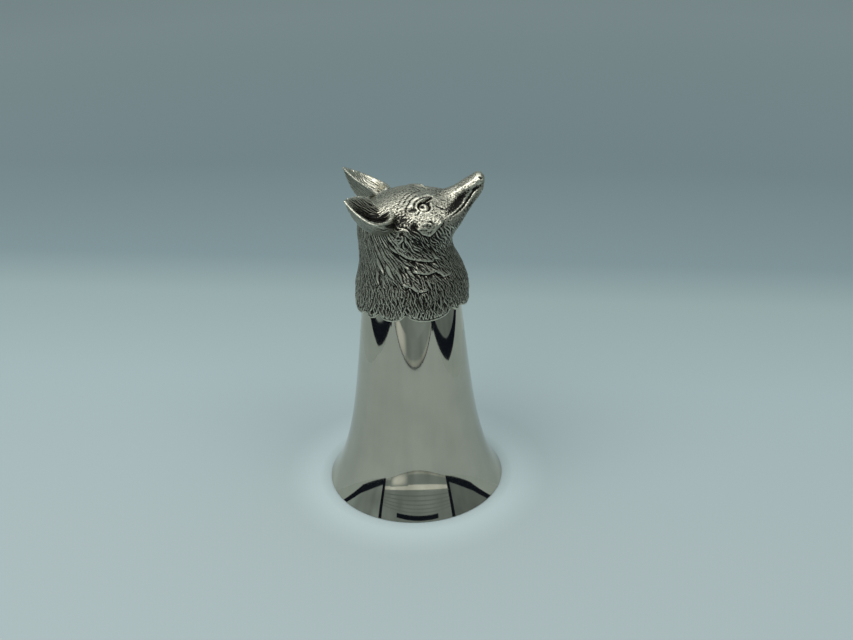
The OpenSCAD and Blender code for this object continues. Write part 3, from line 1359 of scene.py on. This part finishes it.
    neck_pivot: float = 0.54
    face_light: float = 0.18
    low_shade: float = 0.08
    low_span: Pair = (-9.0, -5.0)
    tip_wear_and_highlight: float = 0.25
    tip_height: float = 0.1
    edge_wear: Pair = (0.2, 0.8)
    # Painted shade under the ear, the cheek and the folds and low on the ruff, and painted highlights on the
    # neck where the amount is above 0
    painted_shade_and_highlights: tuple[tuple[Place, float, float], ...] = (
        ((-4.5, 16, 29.5), 3.0, -0.35),
        ((-3.5, 14.5, 31), 2.4, -0.26),
        ((0.5, 18, 26), 3.0, -0.34),
        ((1.5, 18.2, 22.8), 2.6, -0.3),
        ((5, 17.4, 20), 3.6, -0.4),
        ((10, 15.5, 22), 3.0, -0.33),
        ((1, 20, 12), 2.5, -0.3),
        ((4, 21, -1), 4.0, -0.28),
        ((-9, 17.5, 9), 4.0, 0.22),
        ((-10.5, 16, 15), 3.0, 0.2),
        ((13.5, 14.5, 8), 3.0, 0.16),
    )
    seat: float = field(init=False)
    coat: Coat = field(init=False)

    def __post_init__(self) -> None:
        """The seat is the top of the beaker."""
        self.seat = self.beaker.height

    @property
    def lock_tips(self) -> list[Place]:
        """Tips of the long locks: along the folds, apart from the first one's start, and a few loose ones."""
        first, *others = self.folds
        return [*first[2:], *(tip for fold in others for tip in fold), *self.loose_tips]

    def outside_only(self) -> bmesh.types.BMesh:
        """A copy of the solid without its socket and hollow, closed again by a plain socket.

        Returns:
            A closed shape.
        """
        bm = solid_copy(Node.HEAD)
        bm.normal_update()
        net = BVHTree.FromBMesh(bm)
        golden = math.pi * (3 - math.sqrt(5))
        rays = []
        for i in range(self.rays):
            z = 1 - self.ray_span * (i + 0.5) / self.rays
            ring = math.sqrt(1 - z * z)
            rays.append(Vector((ring * math.cos(golden * i), ring * math.sin(golden * i), z)))
        inner = [face for face in bm.faces if not self.is_outside(face, net, rays)]
        bmesh.ops.delete(bm, geom=inner, context="FACES")
        edge = [e for e in bm.edges if e.is_boundary]
        for rise in (0.0, self.socket_depth):
            grown = bmesh.ops.extrude_edge_only(bm, edges=edge)["geom"]
            for vert in (g for g in grown if isinstance(g, bmesh.types.BMVert)):
                radius = self.beaker.radius(vert.co.z) + self.socket_gap
                scale = radius / math.hypot(vert.co.x, vert.co.y)
                top = self.seat - self.socket_depth if rise else vert.co.z
                vert.co = (vert.co.x * scale, vert.co.y * scale, top)
            edge = [g for g in grown if isinstance(g, bmesh.types.BMEdge)]
        bmesh.ops.holes_fill(bm, edges=edge)
        bmesh.ops.recalc_face_normals(bm, faces=bm.faces)
        return bm

    def is_outside(self, face: bmesh.types.BMFace, net: BVHTree, rays: list[Vector]) -> bool:
        """Whether a face of the solid shows from outside.

        Args:
            face: The face.
            net: The whole solid.
            rays: Ways to look out.

        Returns:
            True if it shows.
        """
        middle = face.calc_center_median()
        if middle.z < self.seat + self.seat_margin:
            wall = self.beaker.radius(middle.z) + self.socket_gap + self.mid_wall
            return math.hypot(middle.x, middle.y) > wall
        start = middle + face.normal * self.ray_start
        out = (ray for ray in rays if ray.dot(face.normal) > self.grazing)
        return any(net.ray_cast(start, ray)[0] is None for ray in out)

    def build(self, finish: bpy.types.Material) -> None:
        """Sculpts the head.

        Args:
            finish: Its material.
        """
        piece = netted("cast_fox_head", self.outside_only(), self.voxel)
        skin = Skin(piece, self.seat, Node.HEAD)
        skin.relax(self.evening)
        self.coat = Coat(skin)
        self.swell()
        self.shape_face()
        self.grow_coat()
        skin.push(self.coat.settled(self.coat_sink, self.sink_blur))
        self.store_wear_and_shade()
        thin_out(piece, self.triangles)
        Skin(piece, self.seat, Node.HEAD).write()
        take_over(piece, Node.HEAD, finish)

    def hairline(self, side: Array) -> Array:
        """How far each point lies above the line where the face's fur meets the neck's."""
        places, heights = np.array(self.face_line).T
        return side[:, 2] - np.interp(side[:, 0], places, heights)

    def above_edge(self) -> Array:
        """How far each point lies above the ruff's scalloped edge, straight below it.

        Returns:
            Heights in millimetres.
        """
        x, y, z = self.coat.skin.points.T
        turn = (np.degrees(np.arctan2(y, x)) % 360).astype(int)
        lowest = np.full(360, np.inf)
        np.minimum.at(lowest, turn, z)
        return z - lowest[turn]

    def swell(self) -> None:
        """Makes neck and ruff uneven, as tufts of fur are under their locks."""
        skin = self.coat.skin
        draw = np.random.default_rng(self.swell_seed)
        rise = np.zeros(len(skin.points))
        numbers = np.flatnonzero(self.hairline(skin.side) < self.swell_line)
        for number in draw.choice(numbers, self.swellings):
            radius = draw.uniform(*self.swell_radius)
            distance = far_from(skin.points, skin.points[number])
            rise += draw.uniform(*self.swell_height) * bell(distance, radius)
        skin.push(rise * smooth_step(self.above_edge(), *self.swell_fade))

    def shape_face(self) -> None:
        """Cuts and raises the eyes, lips, nostrils and cheeks, and stipples the face."""
        skin = self.coat.skin
        side = skin.side
        skin.push(self.cheek_rise(side) + self.fold_rise(side) + self.line_rise(side))
        skin.push(self.eye.rise(self.coat))
        draw = np.random.default_rng(self.stipple_seed)
        speckle = skin.spread(draw.normal(size=len(side)), self.stipple_blur)
        speckle = speckle * smooth_step(self.hairline(side), *self.line_blend)
        near = far_from(side, self.eye.middle)
        skin.push(self.stipple * speckle * smooth_step(near, *self.stipple_fade))

    def cheek_rise(self, side: Array) -> Array:
        """Heights of the cheek's lobe, which ends in a step over the neck.

        Args:
            side: The points.

        Returns:
            The heights.
        """
        distance, share, way = along_line(side, np.array(self.cheek_edge))
        inward = (way * (np.array(self.cheek_whorl) - (side - way))).sum(1) > 0
        return self.cheek_tier.heights(distance, share, inward)[0]

    def fold_rise(self, side: Array) -> Array:
        """Heights of the neck's folds, whose rubbed edges and painted shadow under them are added to the
        coat's.

        Args:
            side: The points.

        Returns:
            The heights.
        """
        rise = np.zeros(len(side))
        bright, bright_radius = self.fold_bright
        dark, dark_radius, dark_distance = self.fold_shadow
        for fold in self.folds:
            distance, share, way = along_line(side, np.array(fold))
            heights, strength, over = self.fold_tier.heights(distance, share, way[:, 2] > 0)
            rise += heights
            rubbed = over * bright * bell(distance, bright_radius)
            # Painted shadow under the fold's edge
            shadowed = (1 - over) * dark * bell(distance - dark_distance, dark_radius)
            self.coat.rub_and_shade += strength * (rubbed - shadowed)
        return rise

    def line_rise(self, side: Array) -> Array:
        """Heights of the face's carved lines, whose lightening and darkening of the metal is added to the
        coat's.

        Args:
            side: The points.

        Returns:
            The heights.
        """
        rise = np.zeros(len(side))
        for cut in self.face:
            strength = cut.strength(side, self.line_ends)
            rise += cut.height * strength
            self.coat.rub_and_shade += cut.rub_and_shade * strength
        return rise

    def flow(self) -> Array:
        """The way that the fur runs: back from the nose over the face, and down and forwards on the neck.

        Returns:
            A way for each point.
        """
        side, facing = self.coat.skin.side, self.coat.skin.facing
        turn = np.arctan2(side[:, 1], side[:, 0])
        sweep = np.interp(side[:, 2], *np.array(self.sweep).T) * np.sin(turn)
        neck = np.stack([sweep * np.sin(turn), -sweep * np.cos(turn), -np.ones(len(side))], axis=1)
        face = unit(side - np.array(NOSE))
        share = smooth_step(self.hairline(side), *self.flow_blend)[:, None]
        way = neck * (1 - share) + face * share
        for centre, reach in zip((self.cheek_whorl, self.neck_whorl), self.whorl_reach):
            off = side - np.array(centre)
            round_it = unit(np.cross(facing, off)) + self.whorl_spread * unit(off)
            near = bell(np.linalg.norm(off, axis=1), reach)[:, None]
            way = way * (1 - near) + round_it * near
        return way

    def grow_coat(self) -> None:
        """Lays the fur, patch by patch, and then the long locks."""
        coat = self.coat
        side = coat.skin.side
        x, y, z = side.T
        line = self.hairline(side)
        outer = np.hypot(x, y) > self.beaker.end_radius / MM + self.outer_margin
        bare = (x > self.bare_muzzle) & (line > 0) | (far_from(side, self.eye.middle) < self.bare_eye)
        bare |= (z < -self.socket_depth / MM) & ~outer
        coat.comb(self.flow())
        for patch, region in self.fur:
            patch.grow(coat, region.holds(side, line, outer) & ~bare)
        roots = []
        for x, y, z in self.lock_tips:
            for hand in Hand:
                _, number, _ = coat.tree.find((x, hand.value * y, z))
                start = coat.skin.points[number] - self.tufts.length * coat.flow[number]
                roots.append(coat.tree.find(start)[1])
        self.tufts.lay(coat, roots)
        coat.height *= smooth_step(self.above_edge(), *self.coat_fade)

    def store_wear_and_shade(self) -> None:
        """Keeps the wear, with the locks' tips rubbed and painted brighter, painted light on the face and
        painted shade low on the ruff.
        """
        coat = self.coat
        side = coat.skin.side
        line = self.hairline(side)
        wear_and_shade = coat.skin.wear()
        wear_and_shade += (wear_and_shade - self.neck_pivot) * self.neck_contrast * smooth_step(-line, *self.line_blend)
        # Painted light over the whole face, and painted shade low on the ruff
        wear_and_shade += self.face_light * smooth_step(line, *self.line_blend)
        wear_and_shade -= self.low_shade * smooth_step(-side[:, 2], *self.low_span)
        # The locks' tips are rubbed brighter and painted as highlights
        wear_and_shade += self.tip_wear_and_highlight * (coat.tip - 0.5) * (coat.height > self.tip_height) + coat.rub_and_shade
        amount, radius = self.edge_wear
        wear_and_shade += amount * bell(self.above_edge(), radius)
        # Spots of painted shade and painted highlights
        for place, radius, amount in self.painted_shade_and_highlights:
            wear_and_shade += amount * bell(far_from(side, place), radius)
        coat.store(wear_and_shade)


# Tone inside each ear's opening, as painted light and shade: the near right ear in shadow, the far left one
# lit; and what its deepest place takes from that, as painted shade
EAR_SHADING: dict[Hand, Pair] = {Hand.RIGHT: (0.12, 1.0), Hand.LEFT: (0.58, 0.2)}


@dataclass
class Ear:
    """One cast ear: its solid as a fine net, with a rounded rim and fur. Millimetres about the seat.

    Attributes:
        seat: Height of the seat, in metres.
        front: The rim's front corner.
        axis: The way from there to the tip.
        outlook: The way that the opening faces.
        sink: How far the front of the inner rim is sunk.
        sink_bell: Where along the ear it is sunk most, and the radius of that.
        rim: How far a point of the rim stands out, from none of it to all.
        lean: How much the fur leans out to either side, and back to the front at the middle.
        bead: Height of the rim's bead, and what its front corner adds.
        shallow: Where across the opening the painted shade ends, and how much of it goes there.
    """

    hand: Hand
    seat: float
    voxel: float = 0.25 * MM
    evening: int = 5
    front: Place = (-6.3, 14.4, 32.4)
    axis: Place = (-19.0, 4.1, 8.1)
    outlook: Place = (0.4, 0.12, 0.91)
    length: float = 21.0
    width: float = 12.0
    sink: float = 2.8
    sink_bell: Pair = (0.2, 0.17)
    sink_start: Pair = (0.0, 0.1)
    sink_across: Pair = (2.5, 5.5)
    sink_up: Pair = (-6.0, -1.5)
    rim: Pair = (0.18, 0.4)
    rim_blur: int = 24
    inner_lean: float = 0.1
    lean: Pair = (0.45, 0.2)
    long_hair: FurPatch = FurPatch(1.05, 6.0, 0.5, 0.4, 16, 2.0, 31)
    short_hair: FurPatch = FurPatch(0.95, 2.2, 0.4, 0.12, 10, 2.0, 32)
    bare_rim: Pair = (0.3, 0.5)
    coat_sink: float = 0.5
    sink_blur: int = 30
    bead: Pair = (0.22, 0.4)
    curl: float = 3.5
    depth: Pair = (0.5, 5.0)
    shallow: Place = (1.0, 6.0, 0.8)
    rim_wear: float = 0.2
    back_wear: float = 0.12
    rim_glow: float = 0.5
    glow_blur: int = 60

    @property
    def node(self) -> Node:
        """The solid that the ear stands for."""
        return Node.RIGHT_EAR if self.hand is Hand.RIGHT else Node.LEFT_EAR

    @property
    def axes(self) -> tuple[Array, Array, Array]:
        """The ear's own axes.

        Returns:
            The ways along it to its tip, up out of its opening, and across to its inner rim.
        """
        along = unit(np.array(self.axis))
        up = np.array(self.outlook)
        up = unit(up - along * (up @ along))
        return along, up, np.cross(up, along)

    def build(self, finish: bpy.types.Material) -> None:
        """Sculpts the ear.

        Args:
            finish: Its material.
        """
        piece = netted("cast_" + self.node.value, solid_copy(self.node), self.voxel)
        skin = Skin(piece, self.seat, self.node)
        skin.relax(self.evening)
        self.lower_rim(skin)
        coat = Coat(skin)
        off = skin.side - np.array(self.front)
        edge = smooth_step(skin.stands_out(self.rim_blur), *self.rim)
        inside = skin.facing @ self.axes[1] > self.inner_lean
        self.grow_coat(coat, off, edge, inside)
        self.store_wear_and_shade(coat, off, edge, inside)
        take_over(piece, self.node, finish)

    def lower_rim(self, skin: Skin) -> None:
        """Sinks the front half of the inner rim towards the head, where the forehead's fur runs into the ear.

        Args:
            skin: The ear's surface.
        """
        along, up, inward = self.axes
        off = skin.side - np.array(self.front)
        share = off @ along / self.length
        middle, radius = self.sink_bell
        drop = self.sink * bell(share - middle, radius) * smooth_step(share, *self.sink_start)
        drop *= smooth_step(off @ inward, *self.sink_across) * smooth_step(off @ up, *self.sink_up)
        skin.points[:, 2] -= drop
        skin.write()

    def grow_coat(self, coat: Coat, off: Array, edge: Array, inside: Array) -> None:
        """Lays long hair inside the ear and short hair on its back, and rounds the rim.

        Args:
            coat: The coat.
            off: The points, about the rim's front corner.
            edge: How far each point is on the rim.
            inside: True for each point in the opening.
        """
        along, _, across = self.axes
        lean = (off @ across / self.width)[:, None]
        outwards, forwards = self.lean
        coat.comb(along + outwards * lean * across - forwards * (1 - np.abs(lean)) * across)
        inner_rim, outer_rim = self.bare_rim
        self.long_hair.grow(coat, inside & (edge < inner_rim))
        self.short_hair.grow(coat, ~inside & (edge < outer_rim))
        coat.height *= 1 - edge
        height, more = self.bead
        bead = (height + more * bell(np.linalg.norm(off, axis=1), self.curl)) * edge
        coat.skin.push(coat.settled(self.coat_sink, self.sink_blur) + bead)

    def store_wear_and_shade(self, coat: Coat, off: Array, edge: Array, inside: Array) -> None:
        """Keeps the wear, bright on the rim, with painted shade in the opening, less so by the inner rim, and
        painted light inside near the rim.

        Args:
            coat: The finished coat.
            off: The points, about the rim's front corner.
            edge: How far each point is on the rim.
            inside: True for each point in the opening.
        """
        _, up, across = self.axes
        within, deepest = EAR_SHADING[self.hand]
        start, end, share = self.shallow
        depth = smooth_step(-(off @ up), *self.depth)
        depth *= 1 - share * smooth_step(off @ across, start, end)
        wear_and_shade = coat.skin.wear() + self.rim_wear * edge + self.back_wear * ~inside
        # Painted shade in the opening, darker deep inside, and darker in the near ear than in the far one
        wear_and_shade += inside * (within - deepest * depth)
        # Painted light inside the opening near the rim
        wear_and_shade += self.rim_glow * coat.skin.spread(edge, self.glow_blur) * inside
        coat.store(wear_and_shade)


@dataclass
class Studio:
    """A plain pale floor, soft light, and a camera where the photographer stood. Metres.

    The photographer's small tent stands round the cup as glowing cards that only reflections show: their
    tones paint the light and shade on its cloth.

    Attributes:
        left_foot: The left wall's black foot: places on the floor, and its lower and upper edges' heights.
        right_foot: The right wall's.
        left_post: The far side of the left wall's post, whose near side is the foot's first place.
        right_post: The right wall's.
        slant: How far the floor's painted fading leans across it, leaving the right side darker.
        ramp_start: Where across the floor its ramp starts.
        floor_tones: The floor's colours, from front to back: painted light, bright at the front and falling
            off towards the back.
        halo: A painted contact shadow at the cup's rim and a painted pool of light round it, by distance from
            its axis.
        far: Distances between which the floor turns to its far tone.
        sky: The surroundings' colours, by height.
        lamps: Names, places, sizes of the square faces, and watts.
    """

    lens: float = 46.42
    sensor: float = 36.0
    nearest: float = 0.01
    place: Place = (-0.02159, -0.40487, 0.2883)
    ahead: Place = (0.06023, 0.88351, -0.46453)
    roll: float = -1.35
    floor_radius: float = 4.0
    floor_sides: int = 128
    floor_roughness: float = 0.9
    front: float = -0.2225
    wall_top: float = 0.28
    left_foot: Foot = (
        (-0.218, -0.178, 0, 0.013),
        (-0.2, -0.04, 0.005, 0.019),
        (-0.165, 0.037, 0.024, 0.032),
        (-0.13, 0.11, 0.042, 0.05),
        (0, 0.19, 0.062, 0.062),
    )
    right_foot: Foot = (
        (0.181, -0.203, 0, 0.012),
        (0.165, -0.06, 0.007, 0.019),
        (0.15, 0.02, 0.023, 0.031),
        (0.13, 0.11, 0.04, 0.048),
        (0, 0.19, 0.062, 0.062),
    )
    left_post: Pair = (-0.207, -0.192)
    right_post: Pair = (0.168, -0.216)
    seam: float = 0.004
    seam_height: float = 0.001
    hem: float = 0.018
    fold: float = 0.027
    stitches: int = 5
    stitch: float = 0.0025
    bar: Pair = (0.087, 0.103)
    bar_ends: Pair = (-0.12, 0.085)
    front_ends: Pair = (-0.6, 0.6)
    shine: tuple[Place, Place] = ((-0.185, -0.2215, -0.002), (-0.06, -0.2215, 0.02))
    shine_core: float = 0.8
    overhang: float = 0.035
    overhang_ends: Pair = (-0.195, 0.155)
    crease_shading_scale: float = 14.0
    black: Colour = (0.008, 0.011, 0.018)
    wall_tone: Colour = (0.22, 0.28, 0.28)
    # One grey cloth with painted light: the left wall lit, the right wall in shade, and the back wall between
    # them
    left_lit_tone: Colour = (0.25, 0.32, 0.325)
    right_shaded_tone: Colour = (0.14, 0.18, 0.18)
    back_tone: Colour = (0.19, 0.245, 0.25)
    shade_tone: Colour = (0.17, 0.215, 0.215)
    lip_tone: Colour = (0.36, 0.42, 0.40)
    # Painted highlight on the front's rolled fold and its shine
    highlight_tone: Colour = (0.66, 0.73, 0.70)
    pale_tone: Colour = (0.368, 0.46, 0.46)
    slant: float = 0.19
    ramp_start: float = -0.3
    floor_tones: Stops = (
        (-0.05, (0.45, 0.53, 0.54)),
        (0.08, (0.43, 0.525, 0.54)),
        (0.175, (0.375, 0.47, 0.475)),
        (0.23, (0.27, 0.355, 0.375)),
        (0.4, (0.222, 0.292, 0.31)),
    )
    halo: tuple[Pair, ...] = ((0.038, 0.55), (0.0393, 0.95), (0.044, 1.0), (0.05, 0.92), (0.058, 0.837))
    far_tone: Colour = (0.242, 0.3, 0.31)
    far: Pair = (0.45, 0.95)
    sky: Stops = (
        (0.0, (0.16, 0.215, 0.222)),
        (0.25, (0.20, 0.24, 0.25)),
        (0.6, (0.45, 0.5, 0.5)),
        (0.85, (1.0, 1.05, 1.05)),
    )
    aim: Place = (0, 0, 0.08)
    lamps: tuple[tuple[str, Place, float, float], ...] = (
        ("key", (-0.45, -0.35, 0.85), 0.8, 4.5),
        ("fill", (0.45, -0.4, 1.0), 0.5, 1.6),
    )

    def camera(self) -> None:
        """Sets up the camera."""
        data = bpy.data.cameras.new("camera")
        data.lens = self.lens
        data.sensor_width = self.sensor
        data.sensor_fit = "HORIZONTAL"
        data.clip_start = self.nearest
        camera = new_object("camera", data)
        ahead = Vector(self.ahead).normalized()
        level = ahead.cross(Vector((0, 0, 1))).normalized()
        right = Matrix.Rotation(math.radians(self.roll), 3, -ahead) @ level
        matrix = Matrix((right, right.cross(ahead), -ahead)).transposed().to_4x4()
        matrix.translation = self.place
        camera.matrix_world = matrix
        bpy.context.scene.camera = camera

    def floor(self) -> None:
        """Lays the floor, whose colour paints the light: fading towards the back and away from the cup, with
        a painted contact shadow and pool of light at its rim.
        """
        bm = bmesh.new()
        bmesh.ops.create_circle(bm, cap_ends=True, segments=self.floor_sides, radius=self.floor_radius)
        floor = new_piece("floor", bm)
        material, shade, shader = new_material("pale_floor", PRINCIPLED)
        place = shade.place()
        axes = shade.axes(place)
        # Painted light, falling off towards the back and darker on the right
        back = shade.scaled_add(axes["Y"], axes["X"], self.slant)
        back = shade.math("SUBTRACT", back, self.ramp_start)
        near = shade.ramp(back, [(at - self.ramp_start, tone) for at, tone in self.floor_tones])
        length = shade.add("ShaderNodeVectorMath", operation="LENGTH")
        length = shade.feed(length, Vector=place).outputs["Value"]
        # Painted contact shadow at the rim, and a painted pool of light round the cup
        glow = shade.ramp(length, [(at, (share, share, share)) for at, share in self.halo])
        lit = shade.mix("MULTIPLY", 1.0, near, glow)
        start, end = self.far
        share = shade.ramp(length, [(start, (0.0, 0.0, 0.0)), (end, (1.0, 1.0, 1.0))])
        tint = shade.mix("MIX", share, lit, (*self.far_tone, 1.0))
        shade.feed(shader, Base_Color=tint, Roughness=self.floor_roughness, Specular_IOR_Level=0.0)
        floor.data.materials.append(material)

    def lamp(self, name: str, place: Place, size: float, power: float) -> None:
        """Hangs a soft lamp that looks at the cup.

        Args:
            name: Its name.
            place: Where it hangs.
            size: Side of its square face.
            power: Watts.
        """
        data = bpy.data.lights.new(name, "AREA")
        data.size = size
        data.energy = power
        lamp = new_object(name, data)
        lamp.location = place
        lamp.rotation_euler = (Vector(self.aim) - Vector(place)).to_track_quat("-Z", "Y").to_euler()

    def card(
        self, name: str, corners: list[Place], tone: Colour, uneven: float = 0.0, around: Colour | None = None
    ) -> None:
        """Stands a glowing card that only reflections show, as a photographer's flags do: its tone paints the
        light and shade on that part of the tent.

        Args:
            name: Its name.
            corners: Its corners in turn.
            tone: Its brightness and tint.
            uneven: How much its brightness varies over it, as painted light and shade where the cloth is
                creased.
            around: The tone that it fades to at its edges, if it fades.
        """
        bm = bmesh.new()
        bmesh.ops.contextual_create(bm, geom=[bm.verts.new(corner) for corner in corners])
        card = new_piece(name, bm)
        material, shade, glow = new_material(name, "ShaderNodeEmission")
        # Painted light and shade where the cloth is creased
        crease_shading = shade.noise(shade.place(), self.crease_shading_scale, 1.0)
        shade.feed(glow, Color=(*tone, 1.0), Strength=shade.span(crease_shading, 1 - uneven, 1 + uneven))
        if around:
            axes = shade.axes(shade.place("Generated"))
            waves = [shade.math("SINE", shade.math("MULTIPLY", axes[axis], math.pi)) for axis in "XZ"]
            middle = shade.math("MULTIPLY", *waves)
            shade.feed(glow, Color=shade.ramp(middle, [(0.0, around), (self.shine_core, tone)]))
        card.data.materials.append(material)
        for ray in ("camera", "diffuse", "shadow", "transmission", "volume_scatter"):
            setattr(card, "visible_" + ray, False)

    def upright(self, name: str, first: Place, last: Place, *look: object) -> None:
        """Stands an upright card.

        Args:
            name: Its name.
            first: A lower corner.
            last: The upper corner across from it.
            look: Its tone, unevenness and tone around, as a card has them.
        """
        (x, y, low), (end_x, end_y, high) = first, last
        self.card(name, [(x, y, low), (end_x, end_y, low), (end_x, end_y, high), (x, y, high)], *look)

    def wall(self, name: str, foot: Foot, post: Pair, tone: Colour) -> None:
        """Stands a side of the tent: a grey wall on a black foot that rises to the back, and a black post.

        Args:
            name: Its name.
            foot: The foot, from the front back.
            post: The post's far side.
            tone: The wall's tone.
        """
        top = self.wall_top
        last = len(foot) - 2
        for step, ((x, y, low, high), (end_x, end_y, end_low, end_high)) in enumerate(zip(foot, foot[1:])):
            for part, heights, colour, uneven in (
                ("gap", (0, 0, end_low, low), self.pale_tone, 0.0),
                ("foot", (low, end_low, end_high, high), self.black, 0.0),
                ("wall", (high, end_high, top, top), self.back_tone if step == last else tone, 0.5),
            ):
                places = zip(((x, y), (end_x, end_y), (end_x, end_y), (x, y)), heights)
                self.card(f"{name}_{part}_{step}", [(*at, z) for at, z in places], colour, uneven)
        self.upright(name + "_post", (*foot[0][:2], 0), (*post, top), self.black)

    def tent(self) -> None:
        """Stands a light tent round the cup: grey walls on black feet, and a front with a rolled hem, whose
        fold and a shine on the front are painted highlights.
        """
        self.wall("left", self.left_foot, self.left_post, self.left_lit_tone)
        self.wall("right", self.right_foot, self.right_post, self.right_shaded_tone)
        ends = self.front_ends
        y = self.front
        self.ledge("front_seam", ends, self.seam, self.seam_height, self.black)
        self.ledge("front_overhang", self.overhang_ends, self.overhang, self.fold, self.wall_tone, 0.4)
        for name, low, high, tone, uneven in (
            ("front_lip", 0, self.seam, self.lip_tone, 0.6),
            ("front_hem", self.seam, self.hem, self.wall_tone, 0.4),
            # The rolled fold is painted bright as a highlight
            ("front_fold_highlight", self.hem, self.fold, self.highlight_tone, 0.5),
            ("front_sheet", self.fold, self.wall_top, self.wall_tone, 0.3),
        ):
            self.upright(name, (ends[0], y, low), (ends[1], y, high), tone, uneven)
        # A painted shine on the front, fading to the wall's tone at its edges
        self.upright("front_shine", *self.shine, self.highlight_tone, 0.3, self.wall_tone)
        y += self.stitch
        step = (self.bar[0] - self.fold) / (self.stitches + 1)
        for row in range(1, self.stitches + 1):
            low = self.fold + row * step
            high = low + self.stitch
            self.upright(f"front_stitch_{row}", (ends[0], y, low), (ends[1], y, high), self.shade_tone)
        (start, end), (low, high) = self.bar_ends, self.bar
        self.upright("front_bar", (start, y, low), (end, y, high), self.black)

    def ledge(self, name: str, ends: Pair, depth: float, height: float, *look: object) -> None:
        """Lays a level card along the foot of the tent's front.

        Args:
            name: Its name.
            ends: Its ends across the front.
            depth: How far in from the front it reaches.
            height: Its height.
            look: Its tone and unevenness.
        """
        (start, end), near = ends, self.front + depth
        places = ((start, self.front), (end, self.front), (end, near), (start, near))
        self.card(name, [(x, y, height) for x, y in places], *look)

    def world(self) -> None:
        """Surrounds the set with soft grey, bright overhead."""
        world = bpy.data.worlds.new("studio")
        bpy.context.scene.world = world
        world.use_nodes = True
        shade = Shading(world.node_tree)
        height = shade.axes(shade.place("Generated"))["Z"]
        light = shade.add("ShaderNodeBackground")
        shade.feed(light, Color=shade.ramp(height, self.sky), Strength=1.0)
        shade.feed(shade.add("ShaderNodeOutputWorld"), Surface=light.outputs["Background"])

    def build(self) -> None:
        """Sets up the whole studio."""
        self.camera()
        self.floor()
        self.tent()
        self.world()
        for lamp in self.lamps:
            self.lamp(*lamp)
        bpy.context.scene.view_settings.view_transform = "Standard"


def main() -> None:
    """Builds every piece in order and reports it."""
    logging.basicConfig(level=logging.INFO, format="%(name)s: %(message)s")
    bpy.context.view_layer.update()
    Studio().build()
    mottle = mottle_group()
    beaker = Beaker()
    beaker.build(PolishedPewter().make(mottle))
    antiqued = AntiquedPewter().make(mottle)
    FoxHead(beaker).build(antiqued)
    for hand in Hand:
        Ear(hand, beaker.height).build(antiqued)
    dress(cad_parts[Node.SOLDER.value], PlainSolder().make(mottle))


if __name__ == "__main__":
    main()
